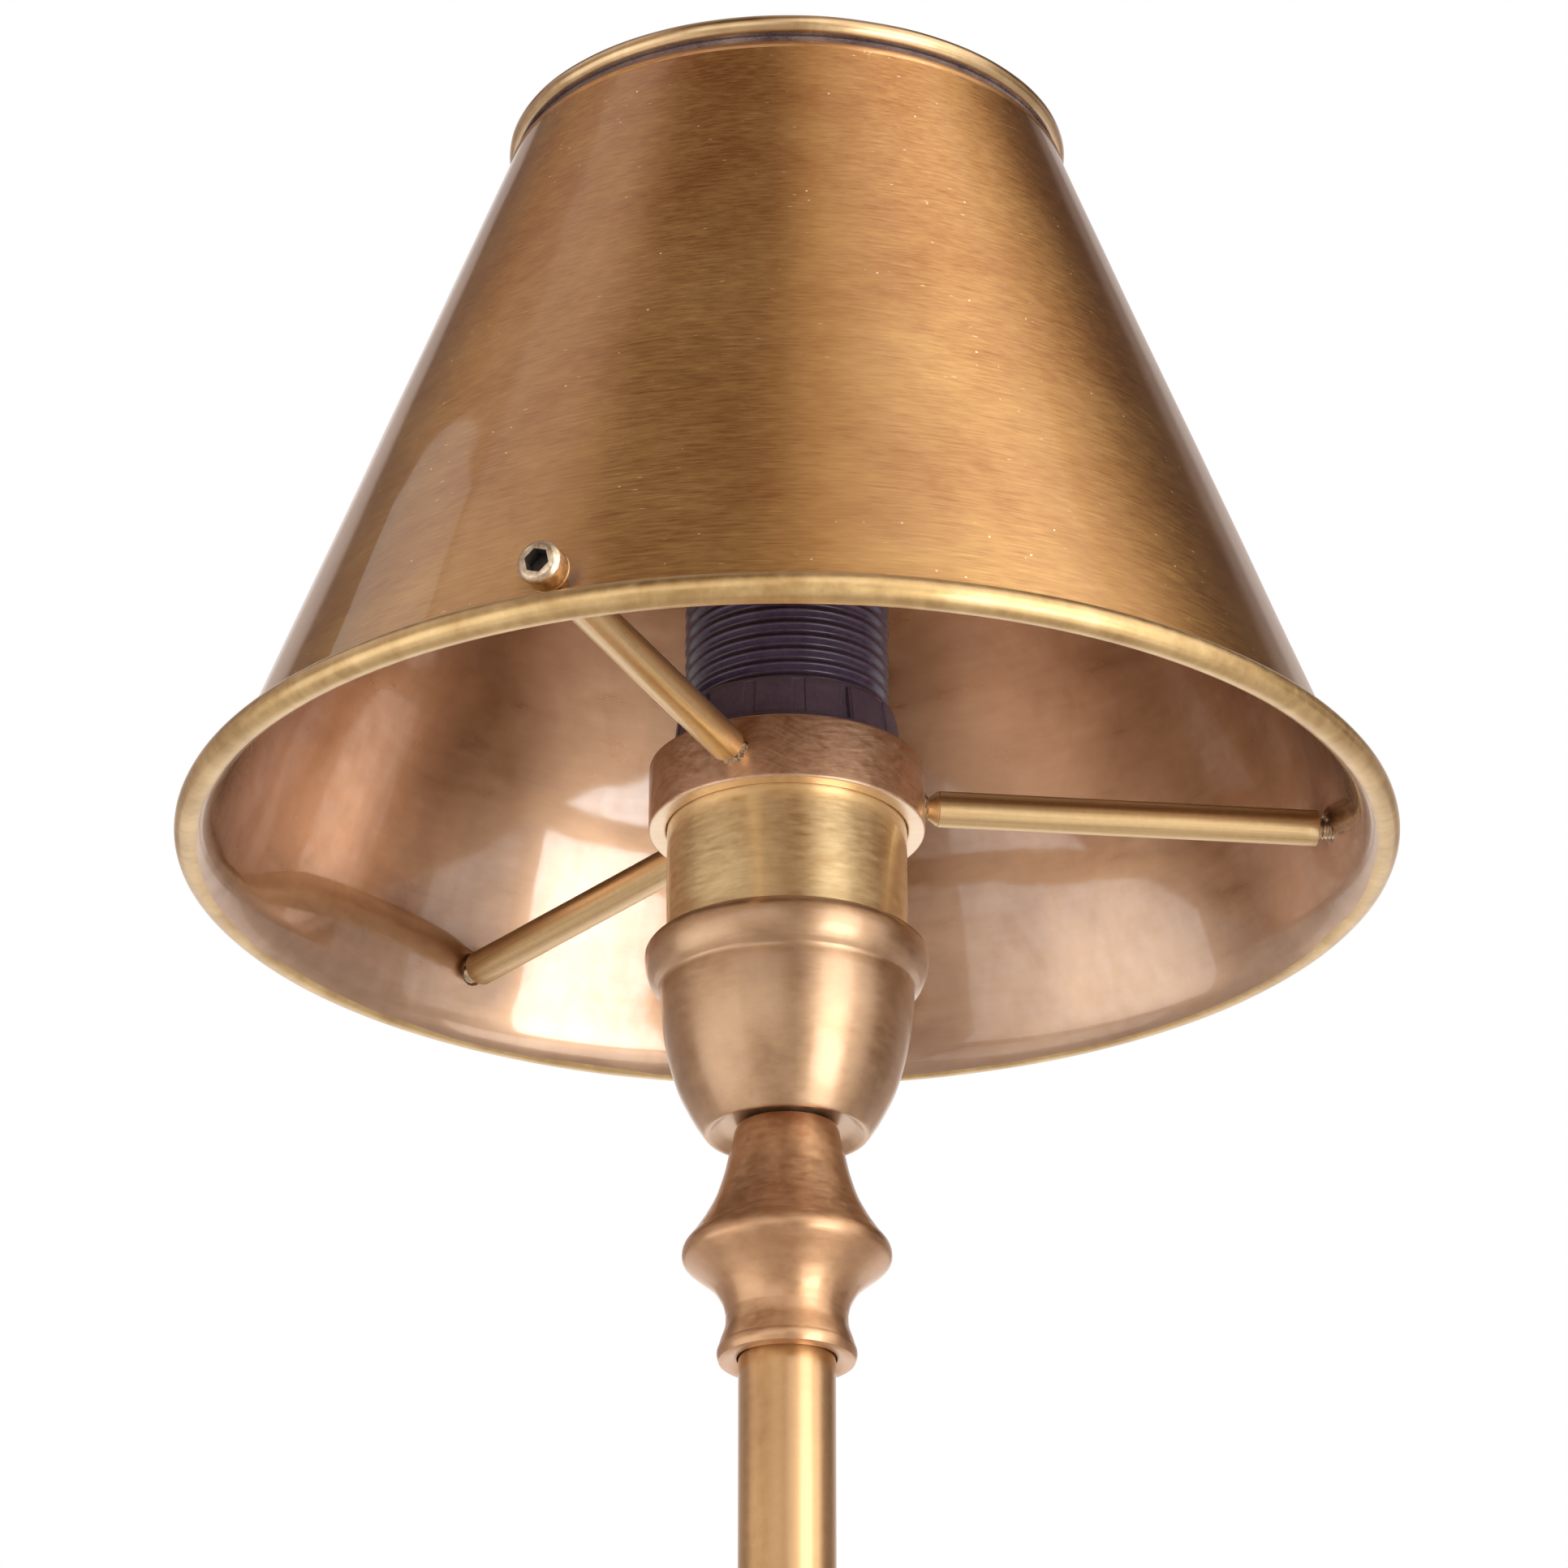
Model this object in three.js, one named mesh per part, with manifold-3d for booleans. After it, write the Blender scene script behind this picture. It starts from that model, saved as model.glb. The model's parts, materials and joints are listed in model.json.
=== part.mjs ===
// A pharmacy floor lamp: a weighted round base, a two-part telescoping brass stem held by a thumbscrew,
// and a conical metal shade that hangs on a three-spoke gallery ring round a screw-in lampholder.
// Millimetres, +Z up. The origin is on the floor, under the centre of the base.

import * as THREE from "three";
import { mergeVertices } from "three/addons/utils/BufferGeometryUtils.js";
import Module from "manifold-3d";

const wasm = await Module();
wasm.setup();

// ------------------------------------------------------------------ driving dimensions

const GALLERY_HEIGHT = 1150; // the plane of the spokes; the head group is drawn from here
const POLE_TOP = 850; // the clamp group is drawn from here

const BASE_RADIUS = 125;
const BASE_SHEET = 1.2; // spun brass
const BASE_TOP = 51.5;
const PAD_RADIUS = 118;
const PAD_THICKNESS = 2.5;

const POLE_RADIUS = 9.5;
const POLE_BORE = 8.5;
const POLE_FOOT = 76.3;
const RISER_RADIUS = 6.5;
const RISER_BORE = 4.6;
const RISER_FOOT = 580;
const NIPPLE_RADIUS = 5; // hollow M10 x 1 thread, drawn plain
const NIPPLE_BORE = 3.2;
const NIPPLE_HOLE = 5.3; // what the nipple passes through

const SKIRT_THREAD_RADIUS = 14.05; // the lampholder's 28 mm outside thread
const SKIRT_ROOT_RADIUS = 13.05;
const SKIRT_PITCH = 2;
const SKIRT_TURNS = 14;

const RING_RADIUS = 18.9; // gallery ring
const RING_HALF_HEIGHT = 4.65;
const RING_BORE = 16.75;
const HUSK_RADIUS = 16.4;
const HUSK_BORE = 15.4;
const NECK_TOP = -48.6; // measured down from the gallery plane
const NECK_FOOT = -81.3;
const RISER_TOP = -67.2;

const SHADE_RADIUS_AT_SPOKES = 76.42; // outside of the wall, in the gallery plane
const SHADE_SLOPE = 0.386; // radius lost per millimetre of height
const SHADE_SHEET = 0.9;
const SHADE_FOOT = -8.4;
const SHADE_HEAD = 98.3;
const LOWER_BEAD = { radius: 81.3, wire: 2.05, z: -6.85 };
const UPPER_BEAD = { radius: 38, wire: 1.45, z: 100 };

const SPOKE_RADIUS = 2.5;
const SPOKE_END = 73.7;
const SPOKE_AZIMUTHS = { a: -113, b: 7, c: 127 }; // degrees from +X towards +Y
const SCREW_HEAD_RADIUS = 2.75;
const SCREW_SHANK_RADIUS = 1.5;

const FIT = 0.3; // gap between meshes that touch in the real lamp

// Sides of the turned pieces, by size.
const BROAD = 36;
const FINE = 44;
const ROUND = 24;
const SMALL = 16;
const TINY = 10;

// ------------------------------------------------------------------ materials

function finish(colour, roughness, metalness) {
  return new THREE.MeshStandardMaterial({ color: colour, roughness, metalness });
}

const agedBrass = finish(0xa8794a, 0.38, 1);
const shadeBrass = finish(0x9c7140, 0.35, 1);
const beadBrass = finish(0xc69c58, 0.3, 1);
const rawBrass = finish(0xc9a860, 0.42, 1);
const steel = finish(0x8d8f92, 0.4, 1);
const castIron = finish(0x3a3b3d, 0.8, 0.6);
const blackPlastic = finish(0x33272f, 0.35, 0);
const nylon = finish(0xe4e1d6, 0.5, 0);
const ceramic = finish(0xe9e6df, 0.3, 0);
const rubber = finish(0x26262a, 0.9, 0);

// ------------------------------------------------------------------ shape helpers

// A profile is a list of [radius, height] points that runs anticlockwise: up the outside, down the inside.
function turned(profile, sides) {
  const points = profile.map(([r, z]) => new THREE.Vector2(r, z));
  return new THREE.LatheGeometry(points, sides).rotateX(Math.PI / 2);
}

// The same for a piece with a hole on its axis: the profile closes on itself.
function turnedRing(profile, sides) {
  return turned([...profile, profile[0]], sides);
}

function tube(outer, inner, foot, top, sides) {
  const section = [[inner, foot], [outer, foot], [outer, top], [inner, top]];
  return turnedRing(section, sides);
}

function rod(radius, foot, top, sides) {
  return turned([[0, foot], [radius, foot], [radius, top], [0, top]], sides);
}

// Points along an elliptical arc in the profile plane, angles in degrees from the +radius direction.
function arc(centreR, centreZ, halfR, halfZ, from, to, steps) {
  return Array.from({ length: steps + 1 }, (_, i) => {
    const angle = THREE.MathUtils.degToRad(from + ((to - from) * i) / steps);
    return [centreR + halfR * Math.cos(angle), centreZ + halfZ * Math.sin(angle)];
  });
}

function wireRing({ radius, wire, z }, sides) {
  return turned(arc(radius, z, wire, wire, 0, 360, 8), sides);
}

function extruded(shape, foot, top) {
  const settings = { depth: top - foot, bevelEnabled: false, curveSegments: 10 };
  return new THREE.ExtrudeGeometry(shape, settings).translate(0, 0, foot);
}

function block(width, depth, height, x, y, z) {
  return new THREE.BoxGeometry(width, depth, height).translate(x, y, z);
}

function hexagon(acrossFlats) {
  const corner = acrossFlats / Math.sqrt(3);
  const corners = Array.from({ length: 6 }, (_, i) => {
    const angle = (i * Math.PI) / 3;
    return new THREE.Vector2(corner * Math.cos(angle), corner * Math.sin(angle));
  });
  return new THREE.Shape(corners);
}

function hexNut(acrossFlats, hole, foot, top) {
  const outline = hexagon(acrossFlats);
  outline.holes.push(new THREE.Path().absarc(0, 0, hole, 0, 2 * Math.PI));
  return extruded(outline, foot, top);
}

function toSolid(geometry) {
  const bare = geometry.clone();
  bare.deleteAttribute("normal");
  bare.deleteAttribute("uv");
  const merged = mergeVertices(bare, 1e-4);
  const mesh = new wasm.Mesh({
    numProp: 3,
    vertProperties: merged.attributes.position.array,
    triVerts: new Uint32Array(merged.index.array),
  });
  return new wasm.Manifold(mesh);
}

function toGeometry(solid) {
  const mesh = solid.getMesh();
  const geometry = new THREE.BufferGeometry();
  geometry.setAttribute("position", new THREE.BufferAttribute(mesh.vertProperties, 3));
  geometry.setIndex(new THREE.BufferAttribute(mesh.triVerts, 1));
  geometry.computeVertexNormals();
  return geometry;
}

function cut(geometry, ...tools) {
  return toGeometry(tools.reduce((solid, tool) => solid.subtract(toSolid(tool)), toSolid(geometry)));
}

function join(geometry, ...others) {
  return toGeometry(others.reduce((solid, other) => solid.add(toSolid(other)), toSolid(geometry)));
}

// A rod lying along +X from one distance to another, turned to an azimuth about the Z axis.
function radialRod(radius, from, to, azimuthDegrees, z = 0) {
  const azimuth = THREE.MathUtils.degToRad(azimuthDegrees);
  return rod(radius, from, to, TINY).rotateY(Math.PI / 2).rotateZ(azimuth).translate(0, 0, z);
}

function add(group, name, geometry, material) {
  const mesh = new THREE.Mesh(geometry, material);
  mesh.name = name;
  group.add(mesh);
  return mesh;
}

// ------------------------------------------------------------------ base

const CABLE_BUSH_HEIGHT = 8;
const CABLE_BUSH_RADIUS = 4;
const CABLE_BUSH_HOLE = 4.4;
const REAR = 90; // azimuth of the cable inlet
const WEIGHT_FOOT = PAD_THICKNESS + FIT;
const RECESS_TOP = 10.8;

function baseCover() {
  const outside = [
    [BASE_RADIUS - 0.6, 1.6],
    [BASE_RADIUS, 2.6],
    [BASE_RADIUS, 13],
    ...arc(BASE_RADIUS - 4, 13, 3.7, 4, 40, 90, 1),
    [84, 21.5],
    ...arc(76, 26.5, 3, 3.6, -60, 90, 3),
    [58, 33],
    [41, 38.6],
    [31, 45],
    ...arc(24, 48.5, 3, 3, 0, 90, 1),
  ];
  const inside = [
    [23, BASE_TOP - BASE_SHEET],
    [29.6, 44.4],
    [40, 37.4],
    [74.5, 28.6],
    [77, 21.4],
    [118, 15.9],
    [BASE_RADIUS - BASE_SHEET, 12.6],
    [BASE_RADIUS - BASE_SHEET, 1.6],
  ];
  const top = [[NIPPLE_HOLE, BASE_TOP], [NIPPLE_HOLE, BASE_TOP - BASE_SHEET]];
  const shell = turnedRing([...outside, ...top, ...inside], BROAD);
  const inlet = radialRod(CABLE_BUSH_HOLE, BASE_RADIUS - 6, BASE_RADIUS + 4, REAR, CABLE_BUSH_HEIGHT);
  return cut(shell, inlet);
}

// A cast disc with a raised middle, a recess for the lock nut and a cable channel to the rear.
function baseWeight() {
  const disc = turnedRing(
    [
      [5.6, WEIGHT_FOOT], [116, WEIGHT_FOOT], [116, 14.4], [72, 19.2], [60, 29], [38, 35], [5.6, 35],
    ],
    BROAD,
  );
  const recess = rod(22, 0, RECESS_TOP, ROUND);
  const channel = block(10, 120, 12, 0, 62, 6);
  return cut(disc, recess, channel);
}

function cableBush() {
  const section = [
    [3.2, BASE_RADIUS - 7],
    [CABLE_BUSH_RADIUS, BASE_RADIUS - 7],
    [CABLE_BUSH_RADIUS, BASE_RADIUS + FIT],
    [5.6, BASE_RADIUS + FIT],
    [5.6, BASE_RADIUS + 1.8],
    [4.6, BASE_RADIUS + 3],
    [3.2, BASE_RADIUS + 3],
  ];
  return turnedRing(section, SMALL);
}

function baseCollar() {
  const outside = [
    [23, BASE_TOP + FIT],
    ...arc(22.4, 55, 3.4, 3, -60, 60, 3),
    [18.5, 61],
    [15, 66],
    [13.6, 73],
    [14.4, 77.4],
    ...arc(14, 81, 4, 2.9, -50, 60, 3),
    [13.2, 87],
    [12.2, 92],
    ...arc(12.6, 98, 1.4, 1.7, -60, 90, 2),
  ];
  const inside = [
    [POLE_RADIUS + 0.2, 99.7],
    [POLE_RADIUS + 0.2, POLE_FOOT - FIT],
    [NIPPLE_HOLE, POLE_FOOT - FIT],
    [NIPPLE_HOLE, BASE_TOP + FIT],
  ];
  return turnedRing([...outside, ...inside], ROUND);
}

const base = new THREE.Group();
add(base, "base_pad", rod(PAD_RADIUS, 0, PAD_THICKNESS, BROAD), rubber);
add(base, "base_weight", baseWeight(), castIron);
add(base, "base_cover", baseCover(), agedBrass);
add(base, "base_washer", tube(13, NIPPLE_HOLE, 9, RECESS_TOP - 0.2, SMALL), steel);
add(base, "base_locknut", hexNut(17, NIPPLE_HOLE, 4.6, 8.8), steel);
add(base, "base_nipple", tube(NIPPLE_RADIUS, NIPPLE_BORE, 4.2, 88, SMALL), steel);
add(base, "base_collar", baseCollar(), agedBrass);

// The inlet's pieces are turned about their own axis, which points to the rear.
const inlet = new THREE.Group();
inlet.position.z = CABLE_BUSH_HEIGHT;
inlet.rotation.x = -Math.PI / 2;
add(inlet, "cable_bush", cableBush(), blackPlastic);
const inletNut = tube(5, CABLE_BUSH_RADIUS + 0.2, BASE_RADIUS - 6.2, BASE_RADIUS - 3, SMALL);
add(inlet, "cable_bush_nut", inletNut, blackPlastic);
base.add(inlet);

// ------------------------------------------------------------------ lower pole

const pole = new THREE.Group();
add(pole, "lower_pole", tube(POLE_RADIUS, POLE_BORE, POLE_FOOT, POLE_TOP, ROUND), agedBrass);
const polePlug = tube(POLE_BORE - 0.15, NIPPLE_HOLE, POLE_FOOT + 0.2, POLE_FOOT + 14, ROUND);
add(pole, "pole_plug", polePlug, rawBrass);

// The riser slides in this bush; the riser's own foot bush slides in the pole.
const guideBush = tube(POLE_BORE - 0.15, RISER_RADIUS + 0.08, POLE_TOP - 38, POLE_TOP - 0.2, ROUND);
add(pole, "guide_bush", guideBush, nylon);

// ------------------------------------------------------------------ height clamp

const CLAMP_SCREW_Z = 8;
const CLAMP_DRUM_RADIUS = 16;
const CLAMP_SCREW_RADIUS = 2.9;
const KNOB_RADIUS = 9;
const KNURLS = 30;

function clampCollar() {
  const outside = [
    [11.2, -24],
    ...arc(11.4, -21.2, 1.8, 2.2, -60, 70, 2),
    [11.6, -17],
    [12, -8],
    ...arc(13.6, 8, 2.4, 9, -80, 80, 5),
    [10.6, 22.4],
    [9.4, 27],
    ...arc(9.4, 30.4, 1.3, 1.9, -60, 90, 2),
  ];
  const inside = [
    [RISER_RADIUS + 0.3, 32.3],
    [RISER_RADIUS + 0.3, 0.2],
    [POLE_RADIUS + 0.2, 0.2],
    [POLE_RADIUS + 0.2, -24],
  ];
  const screwHole = radialRod(CLAMP_SCREW_RADIUS + 0.25, 5, CLAMP_DRUM_RADIUS + 4, 0, CLAMP_SCREW_Z);
  return cut(turnedRing([...outside, ...inside], ROUND), screwHole);
}

function knurledDisc(radius, foot, top) {
  const outline = Array.from({ length: 2 * KNURLS }, (_, i) => {
    const angle = (i * Math.PI) / KNURLS;
    const r = i % 2 ? radius - 0.6 : radius;
    return new THREE.Vector2(r * Math.cos(angle), r * Math.sin(angle));
  });
  return extruded(new THREE.Shape(outline), foot, top);
}

function thumbscrew() {
  const shank = rod(CLAMP_SCREW_RADIUS, 9, 18, TINY);
  const hub = rod(5, 17.4, 19.6, SMALL);
  const face = turned([[0, 25], [7.6, 25], [6.4, 26.4], [0, 26.8]], SMALL);
  return join(knurledDisc(KNOB_RADIUS, 19.4, 25.4), shank, hub, face);
}

const clamp = new THREE.Group();
clamp.position.z = POLE_TOP;
add(clamp, "clamp_collar", clampCollar(), agedBrass);

// Drawn along Z and laid along +X, square to the riser.
const clampScrew = new THREE.Group();
clampScrew.position.z = CLAMP_SCREW_Z;
clampScrew.rotation.y = Math.PI / 2;
add(clampScrew, "clamp_pad", rod(2.7, RISER_RADIUS + 0.25, 8.7, TINY), nylon);
add(clampScrew, "thumbscrew", thumbscrew(), beadBrass);
clamp.add(clampScrew);

// ------------------------------------------------------------------ riser

// A thick tube whose top end is opened out for the nipple's thread.
function riserTube() {
  const foot = RISER_FOOT - GALLERY_HEIGHT;
  const section = [
    [RISER_BORE, foot],
    [RISER_RADIUS, foot],
    [RISER_RADIUS, RISER_TOP],
    [NIPPLE_HOLE, RISER_TOP],
    [NIPPLE_HOLE, RISER_TOP - 14],
    [RISER_BORE, RISER_TOP - 14],
  ];
  return turnedRing(section, ROUND);
}

// A cup-shaped slide that the riser's foot stands and turns in.
function riserBush() {
  const foot = RISER_FOOT - GALLERY_HEIGHT;
  const section = [
    [4.9, foot - 4],
    [POLE_BORE - 0.1, foot - 4],
    [POLE_BORE - 0.1, foot + 16],
    [RISER_RADIUS + 0.1, foot + 16],
    [RISER_RADIUS + 0.1, foot - 0.2],
    [4.9, foot - 0.2],
  ];
  return turnedRing(section, ROUND);
}

const head = new THREE.Group();
head.position.z = GALLERY_HEIGHT;
add(head, "riser_tube", riserTube(), agedBrass);
add(head, "riser_bush", riserBush(), nylon);

// ------------------------------------------------------------------ turned neck and husk

// From the small lip at its foot, up through a waist, a bead and a flared shoulder.
function balusterNeck() {
  const outside = [
    [8.7, NECK_FOOT + 0.1],
    [9.15, -81],
    [9.32, -80],
    [9.25, -78.8],
    [8.6, -77.6],
    [8.15, -75.2],
    [8.57, -72.9],
    [9.6, -71.1],
    [11.6, -69.1],
    ...arc(11.9, -66.2, 2.12, 2.1, -50, 45, 4),
    [12.4, -63.4],
    [10.9, -61],
    [9.6, -58.4],
    [8.6, -55.4],
    [7.9, -52.4],
    [7.1, -50.9],
    [7, -49],
    [6.6, NECK_TOP],
  ];
  const inside = [
    [NIPPLE_HOLE, NECK_TOP],
    [NIPPLE_HOLE, RISER_TOP + FIT],
    [RISER_RADIUS + 0.2, RISER_TOP + FIT],
    [RISER_RADIUS + 0.2, NECK_FOOT + 0.5],
  ];
  return turnedRing([...outside, ...inside], ROUND);
}

// An egg-shaped cup under a round moulding, with a straight tube above that meets the gallery ring.
function husk() {
  const outside = [
    [7.6, -48.1],
    [10.65, -48.6],
    [11, -48.9],
    [11.44, -48.4],
    [12.55, -46.7],
    [13.75, -44.5],
    [14.8, -42.1],
    [15.9, -38.4],
    [16.7, -34.4],
    [17.15, -30.5],
    [17.25, -28.4],
    ...arc(HUSK_RADIUS, -23.3, 2.9, 5, -62, 0, 4),
    ...arc(HUSK_RADIUS, -23.3, 2.9, 1.9, 25, 90, 3),
    [HUSK_RADIUS, 2.6],
  ];
  const inside = [
    [HUSK_BORE, 2.6],
    [HUSK_BORE, -35],
    [14, -40.2],
    [11.8, -44],
    [NIPPLE_HOLE, -44],
    [NIPPLE_HOLE, -48.1],
  ];
  return turnedRing([...outside, ...inside], ROUND);
}

function earthTag() {
  const ring = tube(8, NIPPLE_HOLE, -42.3, -41.5, SMALL);
  const tongue = block(5, 4, 0.8, 9.5, 0, -41.9);
  return join(ring, tongue);
}

add(head, "baluster_neck", balusterNeck(), agedBrass);
add(head, "husk", husk(), agedBrass);
add(head, "stem_nipple", tube(NIPPLE_RADIUS, NIPPLE_BORE, -80, -26, SMALL), steel);
add(head, "husk_washer", tube(10, NIPPLE_HOLE, -43.7, -42.6, SMALL), steel);
add(head, "earth_tag", earthTag(), rawBrass);
add(head, "husk_locknut", hexNut(14, NIPPLE_HOLE, -41.2, -37.2), steel);

// ------------------------------------------------------------------ lampholder

const SKIRT_FOOT = -20;
const SKIRT_TOP = 33;
const SKIRT_BORE = 11.7;
const THREAD_START = 3;

// The thread is drawn as a stack of rings, one to each turn.
function holderSkirt() {
  const thread = [];
  for (let turn = 0; turn < SKIRT_TURNS; turn += 1) {
    const z = THREAD_START + turn * SKIRT_PITCH;
    thread.push([SKIRT_ROOT_RADIUS, z], [SKIRT_THREAD_RADIUS, z + SKIRT_PITCH / 2]);
  }
  const section = [
    [SKIRT_BORE, SKIRT_FOOT], [14, SKIRT_FOOT], [14, -1.2], [15.1, -1.2], [15.1, 2.5],
    [SKIRT_ROOT_RADIUS, 2.5],
    ...thread,
    [SKIRT_ROOT_RADIUS, 31.2], [12.4, SKIRT_TOP], [9.8, SKIRT_TOP], [9.8, 31.4], [SKIRT_BORE, 31.4],
  ];
  return turnedRing(section, ROUND);
}

function holderCap() {
  const section = [
    [NIPPLE_HOLE, -34], [13.2, -34], [14, -33], [14, SKIRT_FOOT - FIT], [SKIRT_BORE, SKIRT_FOOT - FIT],
    [SKIRT_BORE, -28], [NIPPLE_HOLE, -28],
  ];
  return turnedRing(section, SMALL);
}

function holderCore() {
  const section = [[2.4, -12], [11.3, -12], [11.3, 14], [7.9, 14], [7.9, 7.5], [2.4, 7.5]];
  return turnedRing(section, SMALL);
}

function screwShell() {
  const section = [[6.95, 8], [7.5, 8], [7.5, 26], [8.4, 26.6], [8.4, 27.2], [6.95, 27.2]];
  return turnedRing(section, SMALL);
}

function centreContact() {
  const section = [[0, -14], [1.9, -14], [1.9, 7.8], [3.2, 7.8], [3.2, 8.8], [1.5, 9.8], [0, 9.8]];
  return turned(section, TINY);
}

function terminalBlock(side) {
  const body = block(5.2, 6, 6, 6.6 * side, 0, -15.4);
  const screwHole = rod(1.7, -20, -14, TINY).translate(6.6 * side, 0, 0);
  return cut(body, screwHole);
}

function terminalScrew(side) {
  const section = [[0, -20.2], [2, -20.2], [2.2, -19.8], [2.2, -18.7], [1.4, -18.7], [1.4, -14.4], [0, -14.4]];
  const slot = block(5, 0.6, 1, 6.6 * side, 0, -20.2);
  return cut(turned(section, TINY).translate(6.6 * side, 0, 0), slot);
}

add(head, "holder_skirt", holderSkirt(), blackPlastic);
add(head, "holder_cap", holderCap(), blackPlastic);
add(head, "holder_core", holderCore(), ceramic);
add(head, "screw_shell", screwShell(), rawBrass);
add(head, "centre_contact", centreContact(), rawBrass);
for (const [wire, side] of [["live", 1], ["neutral", -1]]) {
  add(head, `terminal_${wire}`, terminalBlock(side), rawBrass);
  add(head, `terminal_screw_${wire}`, terminalScrew(side), steel);
}

// ------------------------------------------------------------------ gallery ring and its nut

const WEB_FOOT = 2.9;
const WEB_HOLE = 14.4;
const SPIGOT_RADIUS = 1.5;
const NUT_FOOT = RING_HALF_HEIGHT + 0.15;
const NUT_TOP = 12.15;
const NUT_NOTCHES = 8;

// A short skirt round the husk's top with a web that the ring nut pulls down on the lampholder.
function galleryRing() {
  const section = [
    [RING_BORE, -RING_HALF_HEIGHT],
    [RING_RADIUS - 0.5, -RING_HALF_HEIGHT],
    [RING_RADIUS, -RING_HALF_HEIGHT + 0.5],
    [RING_RADIUS, RING_HALF_HEIGHT - 0.4],
    [RING_RADIUS - 0.4, RING_HALF_HEIGHT],
    [WEB_HOLE, RING_HALF_HEIGHT],
    [WEB_HOLE, WEB_FOOT],
    [RING_BORE, WEB_FOOT],
  ];
  const holes = Object.values(SPOKE_AZIMUTHS).map((azimuth) =>
    radialRod(SPIGOT_RADIUS + FIT, RING_BORE - 2, RING_RADIUS + 2, azimuth),
  );
  return cut(turnedRing(section, ROUND), ...holes);
}

function shadeRingNut() {
  const section = [
    [WEB_HOLE, NUT_FOOT],
    [16.3, NUT_FOOT],
    [16.3, NUT_FOOT + 1.5],
    [15.7, NUT_FOOT + 1.8],
    [15, NUT_TOP - 0.8],
    [14.8, NUT_TOP],
    [WEB_HOLE, NUT_TOP],
  ];
  const notches = Array.from({ length: NUT_NOTCHES }, (_, i) => {
    const notch = block(2, 1.4, 3, 16.9, 0, NUT_FOOT + 1.2);
    return notch.rotateZ(((i + 0.3) * 2 * Math.PI) / NUT_NOTCHES);
  });
  return cut(turnedRing(section, ROUND), ...notches);
}

add(head, "gallery_ring", galleryRing(), agedBrass);
add(head, "shade_ring_nut", shadeRingNut(), blackPlastic);

// ------------------------------------------------------------------ shade

const WASHER_FOOT = SHADE_RADIUS_AT_SPOKES + 1.45;
const WASHER_TOP = WASHER_FOOT + 0.45;
const HEAD_FOOT = WASHER_TOP + 0.1;
const HEAD_TOP = HEAD_FOOT + 3.3;
const TAPPED_DEPTH = 7;
const NECK_START = RING_RADIUS + 0.35; // the cone between a spoke's spigot and its full radius
const NECK_END = RING_RADIUS + 1.75;

function wallRadius(z) {
  return SHADE_RADIUS_AT_SPOKES - SHADE_SLOPE * z;
}

function shadeWall() {
  const section = [
    [wallRadius(SHADE_FOOT) - SHADE_SHEET, SHADE_FOOT],
    [wallRadius(SHADE_FOOT), SHADE_FOOT],
    [wallRadius(SHADE_HEAD), SHADE_HEAD],
    [wallRadius(SHADE_HEAD) - SHADE_SHEET, SHADE_HEAD],
  ];
  const holes = Object.values(SPOKE_AZIMUTHS).map((azimuth) =>
    radialRod(SCREW_SHANK_RADIUS + 0.4, SPOKE_END - 2, WASHER_FOOT + 2, azimuth),
  );
  return cut(turnedRing(section, FINE), ...holes);
}

// A rod necked down to a spigot that is brazed into the ring, with a tapped hole in its outer end.
function spoke() {
  const section = [
    [0, RING_BORE + 0.4],
    [SPIGOT_RADIUS, RING_BORE + 0.4],
    [SPIGOT_RADIUS, NECK_START],
    [SPOKE_RADIUS, NECK_END],
    [SPOKE_RADIUS, SPOKE_END - 0.3],
    [SPOKE_RADIUS - 0.3, SPOKE_END],
    [SCREW_SHANK_RADIUS + FIT, SPOKE_END],
    [SCREW_SHANK_RADIUS + FIT, SPOKE_END - TAPPED_DEPTH],
    [0, SPOKE_END - TAPPED_DEPTH],
  ];
  return turned(section, TINY);
}

// A socket-head cap screw, drawn with its head at the far end.
function capScrew() {
  const section = [
    [0, SPOKE_END - TAPPED_DEPTH + 1],
    [SCREW_SHANK_RADIUS, SPOKE_END - TAPPED_DEPTH + 1],
    [SCREW_SHANK_RADIUS, HEAD_FOOT],
    [SCREW_HEAD_RADIUS, HEAD_FOOT],
    [SCREW_HEAD_RADIUS, HEAD_TOP - 0.3],
    [SCREW_HEAD_RADIUS - 0.3, HEAD_TOP],
    [0, HEAD_TOP],
  ];
  const socket = extruded(hexagon(2.5), HEAD_TOP - 1.7, HEAD_TOP + 1);
  return cut(turned(section, TINY), socket);
}

add(head, "shade_wall", shadeWall(), shadeBrass);
add(head, "lower_bead", wireRing(LOWER_BEAD, FINE), beadBrass);
add(head, "upper_bead", wireRing(UPPER_BEAD, FINE), beadBrass);

for (const [letter, azimuth] of Object.entries(SPOKE_AZIMUTHS)) {
  const arm = new THREE.Group();
  arm.rotation.order = "ZYX";
  arm.rotation.z = THREE.MathUtils.degToRad(azimuth);
  arm.rotation.y = Math.PI / 2;
  add(arm, `spoke_${letter}`, spoke(), beadBrass);
  add(arm, `cap_screw_${letter}`, capScrew(), beadBrass);
  const washer = tube(SCREW_HEAD_RADIUS, SCREW_SHANK_RADIUS + FIT, WASHER_FOOT, WASHER_TOP, TINY);
  add(arm, `screw_washer_${letter}`, washer, beadBrass);
  head.add(arm);
}

// ------------------------------------------------------------------ the whole lamp

const lamp = new THREE.Group();
lamp.add(base, pole, clamp, head);

export default lamp;
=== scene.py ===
# A pharmacy floor lamp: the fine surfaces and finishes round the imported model, in metres, +Z up.
# Profiles are in millimetres and are scaled once, where a mesh is made.

import json
import math

import bmesh
import bpy
from mathutils import Matrix, Vector, noise

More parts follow.
